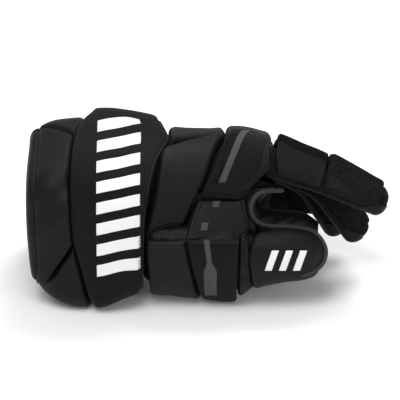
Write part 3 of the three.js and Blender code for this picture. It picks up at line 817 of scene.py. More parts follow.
class Pad:
    """A padded panel between a lower and an upper sheet, both functions of (u, v) from 0 to 1."""

    SAMPLES = 60
    SOFT = 0.22
    WAVE = 34.0
    ROUNDS, GRID, ZOOM = 5, 31, 6

    def __init__(self, name: str, low: Sheet, high: Sheet, edge: Edge = Edge(),
                 relief: Callable[["Pad", Array, Array], Array] | None = None, seed: int = 1,
                 uneven: float = 0.25) -> None:
        """Measure the sheets.

        Args:
            name: the piece's name.
            low: the lower sheet.
            high: the upper sheet.
            edge: how its sides are rounded.
            relief: extra height at (u, v), for seams and folds.
            seed: what makes its unevenness its own.
            uneven: height of its unevenness.
        """
        self.name, self.low, self.high, self.edge = name, low, high, edge
        self.relief, self.uneven = relief, uneven
        self.ripple = Ripple(seed, self.WAVE)
        line = np.linspace(0, 1, self.SAMPLES + 1)
        u, v = np.meshgrid(line, line, indexing="ij")
        top = high(u, v)
        rear, start = travelled(top), travelled(top, 1)
        self.runs = (rear, rear[-1:] - rear, start, start[:, -1:] - start)

    def measured(self, grid: Array, u: Array, v: Array) -> Array:
        """Values of a measured grid at (u, v)."""
        x, y = np.clip(u, 0, 1) * self.SAMPLES, np.clip(v, 0, 1) * self.SAMPLES
        i, j = np.minimum(x.astype(int), self.SAMPLES - 1), np.minimum(y.astype(int), self.SAMPLES - 1)
        p, q = x - i, y - j
        near = grid[i, j] * (1 - q) + grid[i, j + 1] * q
        far = grid[i + 1, j] * (1 - q) + grid[i + 1, j + 1] * q
        return near * (1 - p) + far * p

    def sides(self, u: Array, v: Array) -> tuple[Array, ...]:
        """Distances from the rear, front, start and end sides."""
        return tuple(self.measured(run, u, v) for run in self.runs)

    def share(self, u: Array, v: Array) -> Array:
        """Share of the full thickness at (u, v)."""
        edge = self.edge
        widths = (edge.rear, edge.front, edge.start, edge.end)
        inward = [side / width for side, width in zip(self.sides(u, v), widths, strict=True)]
        near = -self.SOFT * np.log(sum(np.exp(-step / self.SOFT) for step in inward))
        near = np.clip(near, 0, 1)
        return edge.hem + (1 - edge.hem) * np.sqrt(1 - (1 - near) ** 2)

    def at(self, u: Array, v: Array, above: float | Array = 0.0) -> Array:
        """Points of the pad's outside.

        Args:
            u: shares from the rear side to the front one.
            v: shares from the start to the end.
            above: height over the surface.

        Returns:
            Points in millimetres.
        """
        u, v = np.broadcast_arrays(np.asarray(u, float), np.asarray(v, float))
        low, high = self.low(u, v), self.high(u, v)
        share = self.share(u, v)
        out = unit(high - low)
        height = share * self.uneven * self.ripple(high)
        if self.relief is not None:
            height = height + self.relief(self, u, v) * share
        return low + (high - low) * share[..., None] + out * (height + np.asarray(above))[..., None]

    def shell(self, cells: tuple[int, int]) -> Net:
        """The pad as a closed net.

        Args:
            cells: cells from rear to front and from start to end.

        Returns:
            The net.
        """
        u, v = np.meshgrid(clustered(cells[0]), clustered(cells[1]), indexing="ij")
        points, faces = closed_sheet(self.at(u, v), self.low(u, v))
        rear, front, start, end = self.sides(u, v)
        edge = np.minimum(np.minimum(rear, front), np.minimum(start, end))
        lay = np.stack([rear, start, edge], -1).reshape(-1, 3)
        net = Net()
        net.add(points, faces, np.concatenate([lay, lay]))
        return net

    def cover(self, cloth: Cloth, cells: tuple[int, int], fill: float = 0.8) -> bpy.types.Object:
        """Build the pad's cover in place of its solid.

        Args:
            cloth: its finish.
            cells: cells from rear to front and from start to end.
            fill: not used.

        Returns:
            The new object.
        """
        piece = self.shell(cells).piece(self.name + "_cover", cloth)
        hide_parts(self.name)
        return piece

    def find(self, pixel: Pixel, within: tuple[float, float] = (0.0, 1.0)) -> tuple[float, float]:
        """The (u, v) that the photograph shows at a pixel, on the side that faces the camera.

        Args:
            pixel: column and row in the photograph.
            within: the stretch of v that the camera sees.

        Returns:
            The nearest u and v.
        """
        low_u, high_u = 0.0, 1.0
        low_v, high_v = within
        for _ in range(self.ROUNDS):
            across, along = np.linspace(low_u, high_u, self.GRID), np.linspace(low_v, high_v, self.GRID)
            u, v = np.meshgrid(across, along, indexing="ij")
            column, row = seen(self.at(u, v))
            miss = np.hypot(column - pixel[0], row - pixel[1])
            best = np.unravel_index(np.argmin(miss), miss.shape)
            u0, v0 = u[best], v[best]
            span_u, span_v = (high_u - low_u) / self.ZOOM, (high_v - low_v) / self.ZOOM
            low_u, high_u = max(u0 - span_u, 0), min(u0 + span_u, 1)
            low_v, high_v = max(v0 - span_v, within[0]), min(v0 + span_v, within[1])
        return float(u0), float(v0)


def placed(column: float, row: float, side: float) -> Array:
    """The point that the photograph shows at a pixel, at a place across the glove.

    Args:
        column: the pixel's column.
        row: its row.
        side: the point's Y in millimetres.

    Returns:
        The point in millimetres.
    """
    rise = math.radians(ELEVATION)
    height = ((ORIGIN_PIXEL[1] - row) * PIXEL - math.sin(rise) * side) / math.cos(rise)
    return np.array([(column - ORIGIN_PIXEL[0]) * PIXEL, side, height])


def seen(points: Array) -> tuple[Array, Array]:
    """Column and row in the photograph of points in millimetres."""
    rise = math.radians(ELEVATION)
    up = math.cos(rise) * points[..., 2] + math.sin(rise) * points[..., 1]
    return ORIGIN_PIXEL[0] + points[..., 0] / PIXEL, ORIGIN_PIXEL[1] - up / PIXEL


def outline_place(rows: Rows, along: Callable[[Array], Array]) -> Callable[..., tuple]:
    """Place on a skin of (u, v) between a rear and a front line.

    Args:
        rows: rear and front shares along the skin with their angles, from start to end.
        along: turns a share into a place.

    Returns:
        A function of u and v that gives places and angles.
    """
    lines = Table([{**row, "s": i / (len(rows) - 1)} for i, row in enumerate(rows)])

    def place(u: Array, v: Array) -> tuple[Array, Array]:
        """Places and angles at (u, v)."""
        rear, front = lines.column("rear", v), lines.column("front", v)
        turn, to = lines.column("rear_angle", v), lines.column("front_angle", v)
        return along(rear + (front - rear) * u), turn + (to - turn) * u

    return place


def quad(*corners: float) -> Rows:
    """Outline of a pad with four corners: rear, rear angle, front, front angle at start and end."""
    return table("rear rear_angle front front_angle", corners[:4], corners[4:])


def skin_pad(name: str, skin: Skin, thickness: float, rows: Rows,
             along: Callable[[Array], Array], jut: Sequence[float] = (0, 0, 0), **options: object) -> Pad:
    """A pad that is sewn on a skin.

    Args:
        name: the piece's name.
        skin: what carries it.
        thickness: its height over the skin.
        rows: its outline.
        along: turns an outline's shares into places.
        jut: how much further its lower edge stands out, in millimetres.
        options: what else Pad takes.

    Returns:
        The pad.
    """
    place = outline_place(rows, along)

    def low(u: Array, v: Array) -> Array:
        """Points of the lower sheet."""
        return skin.point(*place(u, v), -ROOT)

    def high(u: Array, v: Array) -> Array:
        """Points of the upper sheet."""
        return skin.point(*place(u, v), GAP + thickness) + np.array(jut) * (np.asarray(v) ** 2)[..., None]

    return Pad(name, low, high, **options)


def wrap_pad(name: str, skin: Skin, thickness: float, rows: Rows,
             along: Callable[[Array], Array], **options: object) -> Pad:
    """A pad whose outside is a skin and whose inside lies a thickness further in.

    Args:
        name: the piece's name.
        skin: its outside.
        thickness: its thickness.
        rows: its outline.
        along: turns an outline's shares into places.
        options: what else Pad takes.

    Returns:
        The pad.
    """
    place = outline_place(rows, along)
    inner = skin.inset(thickness)

    def low(u: Array, v: Array) -> Array:
        """Points of the lower sheet."""
        return inner.raw(*place(u, v))

    def high(u: Array, v: Array) -> Array:
        """Points of the upper sheet."""
        return skin.raw(*place(u, v))

    return Pad(name, low, high, **options)


# Trim that lies on a pad


def along_knots(knots: Sequence[Sequence[float]], share: Array) -> Array:
    """Points at shares of a smooth line through knots, in any number of dimensions.

    Args:
        knots: what the line goes through.
        share: places on it, from 0 to 1, evenly spaced from knot to knot.

    Returns:
        The points.
    """
    last = len(knots) - 1
    rows = [{"s": i / last, **{str(k): x for k, x in enumerate(knot)}} for i, knot in enumerate(knots)]
    return np.stack([Table(rows).column(str(k), share) for k in range(len(knots[0]))], -1)


def even_path(points: Array, step: float) -> Array:
    """Points a step apart on a line.

    Args:
        points: the line's points.
        step: the spacing.

    Returns:
        The new points.
    """
    run = travelled(points)
    at = np.linspace(0, run[-1], max(int(run[-1] / step), 2) + 1)
    return np.stack([np.interp(at, run, points[:, k]) for k in range(3)], -1)


def add_tube(net: Net, path: Array, width: float, height: float, out: Array, sides: int = 12) -> None:
    """Add a closed tube with a flattened section.

    Args:
        net: what it is added to.
        path: its middle line.
        width: half its width, along the surface.
        height: half its height, away from the surface.
        out: the surface's outward direction at each point.
        sides: sides of its section.
    """
    ahead = unit(np.gradient(path, axis=0))
    across = unit(np.cross(ahead, out))
    up = np.cross(across, ahead)
    run = travelled(path)
    turn = 2 * math.pi * np.arange(sides) / sides
    ends = np.minimum(run, run[-1] - run) / max(height, 0.1)
    round_off = np.sqrt(1 - (1 - np.clip(ends, 0.02, 1)) ** 2)
    cosine, sine = np.cos(turn)[None, :, None], np.sin(turn)[None, :, None]
    ring = cosine * across[:, None] * width + sine * up[:, None] * height
    grid = path[:, None] + ring * round_off[:, None, None]
    count = len(path)
    index = np.arange(count * sides).reshape(count, sides)
    after = np.roll(index, -1, axis=1)
    body = np.stack([index[:-1], index[1:], after[1:], after[:-1]], -1).reshape(-1, 4)
    hubs = [count * sides, count * sides + 1]
    first = np.stack([np.full(sides, hubs[0]), index[0], after[0], after[0]], -1)
    last = np.stack([np.full(sides, hubs[1]), after[-1], index[-1], index[-1]], -1)
    points = np.concatenate([grid.reshape(-1, 3), path[:1], path[-1:]])
    lay = np.stack(np.broadcast_arrays(run[:, None], (turn * width)[None, :], 3.0), -1).reshape(-1, 3)
    ends_lay = np.array([[0, 0, 0], [run[-1], 0, 0]], float)
    net.add(points, np.concatenate([body, first, last]), np.concatenate([lay, ends_lay]))


def add_stitches(net: Net, path: Array, out: Array, length: float = 2.4, space: float = 1.1,
                 radius: float = 0.32) -> None:
    """Add a row of short stitches along a line.

    Args:
        net: what they are added to.
        path: the line.
        out: the surface's outward direction at each point.
        length: a stitch's length.
        space: the gap between two stitches.
        radius: half the thread's thickness.
    """
    run = travelled(path)
    for start in np.arange(space, run[-1] - length, length + space):
        at = start + length * np.array([0, 0.12, 0.5, 0.88, 1])
        points = np.stack([np.interp(at, run, path[:, k]) for k in range(3)], -1)
        outward = unit(np.stack([np.interp(at, run, out[:, k]) for k in range(3)], -1))
        points = points + outward * (radius * np.array([-0.6, 0.3, 0.6, 0.3, -0.6]))[:, None]
        add_tube(net, points, radius, radius, outward, 5)


class Trim:
    """Lines, patches and stitches that lie on one pad."""

    def __init__(self, pad: Pad) -> None:
        """Keep the pad."""
        self.pad = pad

    def line(self, knots: Array, count: int = 90, above: float = 0.0) -> tuple[Array, Array]:
        """A smooth line over the pad.

        Args:
            knots: (u, v) that it goes through.
            count: how many points to give.
            above: its height over the surface.

        Returns:
            Points and outward directions.
        """
        path = along_knots(knots, np.linspace(0, 1, count))
        points = self.pad.at(path[:, 0], path[:, 1], above)
        ahead = unit(np.gradient(points, axis=0))
        lift = self.pad.at(path[:, 0], path[:, 1], above + 1) - points
        step = 0.004
        around_u = self.pad.at(path[:, 0] + step, path[:, 1]) - self.pad.at(path[:, 0] - step, path[:, 1])
        around_v = self.pad.at(path[:, 0], path[:, 1] + step) - self.pad.at(path[:, 0], path[:, 1] - step)
        normal = unit(np.cross(around_u, around_v))
        flip = np.sign(np.sum(normal * lift, -1, keepdims=True))
        normal = normal * np.where(flip == 0, 1, flip)
        return points, unit(normal - ahead * np.sum(normal * ahead, -1, keepdims=True))

    def patch(self, net: Net, rungs: Sequence[tuple[Sequence[float], Sequence[float]]],
              cells: tuple[int, int] = (24, 8), thickness: float = 0.35) -> None:
        """Add a thin patch.

        Args:
            net: what it is added to.
            rungs: pairs of (u, v), one on each side of the patch, from one end to the other.
            cells: cells along and across it.
            thickness: how far it stands over the pad.
        """
        sides = along_knots([[*left, *right] for left, right in rungs], np.linspace(0, 1, cells[0] + 1))
        t = clustered(cells[1])[None, :, None]
        uv = sides[:, None, :2] * (1 - t) + sides[:, None, 2:] * t
        rim = np.zeros(uv.shape[:2])
        rim[0], rim[-1], rim[:, 0], rim[:, -1] = 1, 1, 1, 1
        over = self.pad.at(uv[..., 0], uv[..., 1], thickness * (1 - 0.6 * rim))
        under = self.pad.at(uv[..., 0], uv[..., 1], -0.5)
        points, faces = closed_sheet(over, under)
        along = travelled(over)
        lay = np.stack([along, travelled(over, 1), np.full(along.shape, FAR)], -1).reshape(-1, 3)
        net.add(points, faces, np.concatenate([lay, lay]))

    def seen_patch(self, net: Net, rungs: Sequence[tuple[Pixel, Pixel]],
                   within: tuple[float, float] = (0.0, 1.0), **options: Any) -> None:
        """Add a patch whose corners are pixels of the photograph, found within a stretch of v."""
        found = [(self.pad.find(left, within), self.pad.find(right, within)) for left, right in rungs]
        self.patch(net, found, **options)

    def along_side(self, side: "Side", inset: float, margin: float = 0.07) -> list[tuple[float, float]]:
        """Knots of a line that follows one of the pad's sides.

        Args:
            side: the side.
            inset: distance from its edge.
            margin: share of the side that the line leaves out at each end.

        Returns:
            Pairs of u and v.
        """
        line = np.linspace(margin, 1 - margin, 9)
        middle = np.full_like(line, 0.5)
        crosses = side in (Side.REAR, Side.FRONT)
        rear, front, start, end = self.pad.sides(*((middle, line) if crosses else (line, middle)))
        share = inset / (rear + front if crosses else start + end)
        share = 1 - share if side in (Side.FRONT, Side.END) else share
        pairs = (share, line) if crosses else (line, share)
        return list(zip(*(values.tolist() for values in pairs), strict=True))

    def stitch(self, net: Net, knots: Sequence[tuple[float, float]], **options: float) -> None:
        """Add stitches along a line through knots of (u, v)."""
        points, out = self.line(knots)
        add_stitches(net, points, out, **options)

    def welt(self, net: Net, knots: Sequence[tuple[float, float]], width: float, height: float) -> None:
        """Add a welt along a line through knots of (u, v), given half its width and half its height."""
        points, out = self.line(knots)
        add_tube(net, points, width, height, out, 10)


class Side(Enum):
    """The sides of a pad, in the order that Pad.sides gives them."""

    REAR = 0
    FRONT = 1
    START = 2
    END = 3


Relief = Callable[[Pad, Array, Array], Array]


@dataclass(frozen=True)
class Groove:
    """A sewn line along one side, pulled into the foam."""

    side: Side
    inset: float = 4.0
    depth: float = 1.1
    width: float = 0.9

    def __call__(self, pad: Pad, u: Array, v: Array) -> Array:
        """Height at (u, v)."""
        distance = pad.sides(u, v)[self.side.value]
        return -self.depth * np.exp(-(((distance - self.inset) / self.width) ** 2))


@dataclass(frozen=True)
class Flange:
    """A flat hem along one side, lower than the rest of the pad."""

    side: Side
    width: float
    drop: float
    ramp: float = 2.4

    def __call__(self, pad: Pad, u: Array, v: Array) -> Array:
        """Height at (u, v)."""
        share = np.clip((pad.sides(u, v)[self.side.value] - self.width) / self.ramp + 0.5, 0, 1)
        return -self.drop * (1 - share * share * (3 - 2 * share))


@dataclass(frozen=True)
class Crease:
    """A fold between two points of a pad, given as (u, v)."""

    start: tuple[float, float]
    end: tuple[float, float]
    depth: float = 1.2
    width: float = 2.0

    def __call__(self, pad: Pad, u: Array, v: Array) -> Array:
        """Height at (u, v)."""
        line = np.linspace(0, 1, 24)
        path = pad.high(*(a + (b - a) * line for a, b in zip(self.start, self.end, strict=True)))
        at = pad.high(u, v)
        near = np.min([np.linalg.norm(at - point, axis=-1) for point in path], 0)
        return -self.depth * np.exp(-((near / self.width) ** 2))


@dataclass(frozen=True)
class Swell:
    """A soft bulge across a pad at a share of its height, or a hollow when its size is negative."""

    v: float
    size: float
    width: float

    def __call__(self, pad: Pad, u: Array, v: Array) -> Array:
        """Height at (u, v)."""
        return self.size * np.exp(-(((v - self.v) / self.width) ** 2))


@dataclass(frozen=True)
class Slump:
    """How the top of a pad gives way towards its front."""

    v: float = 0.45
    depth: float = 4.0
    width: float = 0.14
    start: float = 0.2
    ramp: float = 0.35

    def __call__(self, pad: Pad, u: Array, v: Array) -> Array:
        """Height at (u, v)."""
        front = np.clip((u - self.start) / self.ramp, 0, 1)
        return -self.depth * front * np.exp(-(((v - self.v) / self.width) ** 2))


def together(*parts: Relief) -> Relief:
    """One relief that is the sum of others."""

    def height(pad: Pad, u: Array, v: Array) -> Array:
        """Height at (u, v)."""
        return sum((part(pad, u, v) for part in parts), np.zeros(np.shape(u)))

    return height


# Sub-assemblies


@dataclass(frozen=True)
class Soft:
    """A thin shell of the solids, remade as soft cloth or leather."""

    node: str
    cloth: Cloth
    voxel: float = 1.4
    fold: float = 0.45
    size: float = 15.0
    passes: int = 8

    def build(self) -> bpy.types.Object:
        """Remake the shell with a fine even mesh, round it off and crease it.

        Returns:
            The new object.
        """
        name = self.node + "_soft"
        piece = bpy.data.objects.new(name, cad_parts[self.node].data.copy())
        dressed(piece, self.cloth)
        fine = piece.modifiers.new("fine", "REMESH")
        fine.mode = "VOXEL"
        fine.voxel_size = self.voxel * MM
        rounded = piece.modifiers.new("rounded", "SMOOTH")
        rounded.factor = 0.5
        rounded.iterations = self.passes
        ready = piece.evaluated_get(bpy.context.evaluated_depsgraph_get())
        mesh = bpy.data.meshes.new_from_object(ready)
        piece.modifiers.clear()
        piece.data = mesh
        mesh.materials.clear()
        mesh.materials.append(material_of(self.cloth))
        count = len(mesh.vertices)
        points, normals = np.empty(count * 3, np.float32), np.empty(count * 3, np.float32)
        mesh.vertices.foreach_get("co", points)
        mesh.vertices.foreach_get("normal", normals)
        points, normals = points.reshape(-1, 3) / MM, normals.reshape(-1, 3)
        ripple = Ripple(len(self.node), self.size)
        fold = 1 - np.abs(ripple(points))
        points = (points + normals * (self.fold * fold)[:, None]) * MM
        points[:, 2] = np.maximum(points[:, 2], FLOOR_CLEAR * MM)
        mesh.vertices.foreach_set("co", points.astype(np.float32).ravel())
        mesh.shade_smooth()
        mesh.update()
        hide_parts(self.node)
        return piece


@dataclass
class Shells:
    """What the pads are sewn on."""

    def build(self) -> list[bpy.types.Object]:
        """Make the lining, the back, the palm and the thumb's stall.

        Returns:
            The new objects.
        """
        parts = [
            Soft("cuff_lining", Cloth.LINING, 1.8, 0.6, 24),
            Soft("hand_back", Cloth.MESH, 1.4, 0.4, 14),
            Soft("palm", Cloth.LEATHER, 1.4, 0.5, 16),
            Soft("thumb_stall", Cloth.LEATHER, 1.3, 0.6, 12),
        ]
        return [part.build() for part in parts]


@dataclass
class Roll:
    """The ribbed roll across the wrist, with its welt and its row of plain slanted marks."""

    bars: int = 8
    block: tuple[float, float, float, float] = (98, 112, 141, 276)
    bar_share: float = 0.56
    slant: float = 9.0
    seen_v: tuple[float, float] = (0.33, 0.93)

    def build(self) -> list[bpy.types.Object]:
        """Make the roll's cover, the welt of its front edge and the marks.

        Returns:
            The new objects.
        """
        relief = together(Groove(Side.REAR, 3.2, 0.8), Groove(Side.FRONT, 3.4, 0.8), Slump())
        pad = wrap_pad("cuff_roll", ROLL_SKIN, ROLL_PAD + SUNK, ROLL_EDGES, roll_along,
                       edge=Edge(9, 8, 9, 9, 0.3), relief=relief, seed=3, uneven=0.5)
        trim = Trim(pad)
        welt, marks, seams = Net(), Net(), Net()
        trim.welt(welt, trim.along_side(Side.FRONT, 1.2, 0.02), 1.2, 1.3)
        left, top, right, bottom = self.block
        step = (bottom - top) / self.bars
        for i in range(self.bars):
            row = top + step * (i + 0.5)
            half = step * self.bar_share / 2
            rungs = []
            for share in (0, 0.33, 0.67, 1):
                column = left + (right - left) * share
                middle = row + self.slant * (0.5 - share)
                rungs.append(((column, middle - half), (column, middle + half)))
            trim.seen_patch(marks, rungs, within=self.seen_v, cells=(30, 10))
        trim.stitch(seams, trim.along_side(Side.FRONT, 4.6, 0.03))
        return [
            pad.cover(Cloth.RIBBED, (64, 260), 0.9),
            welt.piece("roll_welt", Cloth.SMOOTH),
            marks.piece("roll_marks", Cloth.THREAD),
            seams.piece("roll_stitches", Cloth.SEAM),
        ]


@dataclass
class Cuff:
    """Flared outer panels with a sewn hem round the opening."""

    hem: float = 11.0
    behind_roll: float = 0.5
    swell_column: float = 48.0
    swell_width: float = 0.05
    swells: tuple[tuple[float, float], ...] = ((176, 2.8), (205, -2.6), (232, 2.4))

    def rear_of_roll(self, angle: float) -> float:
        """The roll's rear edge at an angle, as a share of the cuff's length."""
        turns = [row["rear_angle"] for row in ROLL_EDGES]
        share = float(np.interp(angle, turns, [row["rear"] for row in ROLL_EDGES]))
        return (float(roll_along(share)) - self.behind_roll - OPENING_X) / CUFF_LENGTH

    def build(self) -> list[bpy.types.Object]:
        """Make the four panels and their stitches.

        Returns:
            The new objects.
        """
        panels = {
            "cuff_little_panel": ((-62, -69, 0.1), (-12, -10, 0.02), (37, 39, 0.02)),
            "cuff_back_panel": ((40, 42, 0.02), (45, 59, 0.02), (49, 77, 0.04)),
            "cuff_thumb_panel": ((52, 80, 0.04), (118, 114, 0), (184, 148, 0.01), (236, 176, 0.09)),
            "cuff_palm_flap": ((239, 179, 0.1), (244, 208, 0.2), (252, 240, 0.32)),
        }
        pieces = []
        seams = Net()
        for seed, (name, rows) in enumerate(panels.items()):
            outline = [
                {"rear": rear, "rear_angle": turn, "front": self.rear_of_roll(to), "front_angle": to}
                for turn, to, rear in rows
            ]
            hems = (Groove(Side.REAR, self.hem, 2.0, 1.3), Flange(Side.REAR, self.hem, 0.8))
            pad = wrap_pad(name, CUFF_SKIN, CUFF_PAD + SUNK, outline, cuff_along,
                           edge=Edge(4.5, 6, 4, 4, 0.3), relief=together(*hems), seed=20 + seed, uneven=0.55)
            if name == "cuff_thumb_panel":
                places = [pad.find((self.swell_column, row))[1] for row, _ in self.swells]
                heights = [height for _, height in self.swells]
                swells = [Swell(v, size, self.swell_width) for v, size in zip(places, heights, strict=True)]
                pad.relief = together(*hems, *swells)
            pieces.append(pad.cover(Cloth.SMOOTH, (40, 96), 0.7))
            trim = Trim(pad)
            trim.stitch(seams, trim.along_side(Side.REAR, self.hem - 1.8, 0.04))
        return [*pieces, seams.piece("cuff_stitches", Cloth.SEAM)]


@dataclass
class HandBack:
    """Pads over the back of the hand, the knuckles and the side below the index finger."""

    side_jut: tuple[float, float, float] = (0.0, -28.0, 7.0)
    stripe_top: Pixel = (238.0, 134.0)
    stripe_slope: float = 0.41
    stripe_width: float = 7.0
    stripe_rows: tuple[float, ...] = (141, 151, 162, 173, 183)

    def build(self) -> list[bpy.types.Object]:
        """Make the pads with their hems and stripes.

        Returns:
            The new objects.
        """
        hem = Groove(Side.END, 5.0, 1.4, 0.9)
        framed = [Flange(side, 4.6, 1.7) for side in Side]
        beside_thumb = (0.09, 124, 0.63, 107, -0.075, 204, 0.27, 219)
        over_thumb = (0.39, 192, 0.79, 199, 0.25, 231, 0.78, 240)
        rows = (
            ("back_thumb_pad", HAND_PAD, beside_thumb, (hem,), (6, 5, 4.5, 5.5)),
            ("back_centre_pad", CENTRE_PAD - 3.5, (0.17, 61, 0.61, 57, 0.17, 104, 0.63, 94), (), (4, 5, 5, 5)),
            ("back_little_pad", HAND_PAD, (0.12, -6, 0.54, 2, 0.15, 58, 0.6, 54), (hem,), ()),
            ("knuckle_middle_pad", CENTRE_PAD - 4, (0.64, 65, 1, 64, 0.66, 91, 1, 91), (), (5, 6, 5, 5)),
            ("knuckle_ring_pad", CENTRE_PAD - 3, (0.61, 40, 0.98, 38, 0.635, 62, 1, 61), (), (5, 6, 5, 5)),
            ("knuckle_little_pad", HAND_PAD, (0.56, 3, 0.84, 6, 0.605, 37, 0.9, 35), (), (5, 6, 5, 5)),
            ("side_pad", SIDE_PAD, over_thumb, framed, (2.5, 2.5, 2.5, 1.5, 0.55)),
        )
        pieces, seams, stripes, weave = [], Net(), Net(), Net()
        for seed, (name, thickness, outline, reliefs, edge) in enumerate(rows):
            jut = self.side_jut if name == "side_pad" else (0, 0, 0)
            pad = skin_pad(name, HAND_SKIN, thickness, quad(*outline), hand_along, jut,
                           edge=Edge(*edge), relief=together(*reliefs), seed=40 + seed)
            pieces.append(pad.cover(Cloth.SMOOTH, (48, 54)))
            trim = Trim(pad)
            if name == "side_pad":
                for side in Side:
                    trim.stitch(seams, trim.along_side(side, 2.9, 0.1), length=2.0)
                self.side_stripe(trim, stripes)
            else:
                trim.stitch(seams, trim.along_side(Side.END, 3.4, 0.08))
        return [
            *pieces,
            *self.knuckle(seams, stripes, weave),
            seams.piece("hand_stitches", Cloth.SEAM),
            stripes.piece("hand_stripes", Cloth.STRIPE),
            weave.piece("knuckle_weave", Cloth.MESH),
        ]

    def side_stripe(self, trim: Trim, stripes: Net) -> None:
        """Add the side pad's two ends of grey stripe."""
        ends = (
            [((213, 201), (220, 201)), ((212, 207), (219, 207))],
            [((202, 222.5), (208.5, 222.5)), ((200.5, 230.5), (207, 230.5))],
        )
        for rungs in ends:
            trim.seen_patch(stripes, rungs, cells=(6, 6))

    def stripe_left(self, row: float) -> float:
        """The stripe's left side in a row of the photograph."""
        return self.stripe_top[0] - (row - self.stripe_top[1]) * self.stripe_slope

    def knuckle(self, seams: Net, stripes: Net, weave: Net) -> list[bpy.types.Object]:
        """Make the index finger's knuckle pad with its stripe.

        Args:
            seams: what its stitches are added to.
            stripes: what its stripe is added to.
            weave: what its rough panel is added to.

        Returns:
            Its smooth band and the pad's cover.
        """
        outline = table(
            "rear rear_angle front front_angle",
            (0.67, 94, 1, 94),
            (0.59, 132, 1, 130),
            (0.49, 162, 1, 164),
            (0.41, 189, 0.77, 199),
        )
        seam = Groove(Side.FRONT, 5.5, 0.9, 0.8)
        hems = together(Groove(Side.END, 5.2, 1.5, 0.9), Flange(Side.END, 3.4, 1.6), seam)
        pad = skin_pad("knuckle_index_pad", HAND_SKIN, HAND_PAD - 1.2, outline, hand_along,
                       edge=Edge(4, 4, 5, 5), relief=hems, seed=51)
        trim = Trim(pad)
        lefts = [(self.stripe_left(row), row) for row in self.stripe_rows]
        found = [(pad.find(left), pad.find((left[0] + self.stripe_width, left[1]))) for left in lefts]
        start_u = [2 * first[0] - second[0] for first, second in zip(found[0], found[1], strict=True)]
        trim.patch(stripes, [((start_u[0], 0.03), (start_u[1], 0.03)), *found], (44, 8), 0.5)
        rough = [((0.06, 0.04), (start_u[0], 0.04)), *(((0.06, left[1]), left) for left, _ in found)]
        trim.patch(weave, rough, (50, 20), 0.3)
        band = Net()
        rungs = [
            ((0.89, 0.34), (0.985, 0.34)),
            ((0.86, 0.55), (0.985, 0.55)),
            ((0.81, 0.74), (0.985, 0.75)),
            ((0.7, 0.88), (0.96, 0.92)),
        ]
        trim.patch(band, rungs, (50, 14), 0.45)
        trim.stitch(seams, trim.along_side(Side.END, 3.2, 0.08))
        return [band.piece("knuckle_band", Cloth.SMOOTH), pad.cover(Cloth.RIBBED, (58, 100))]


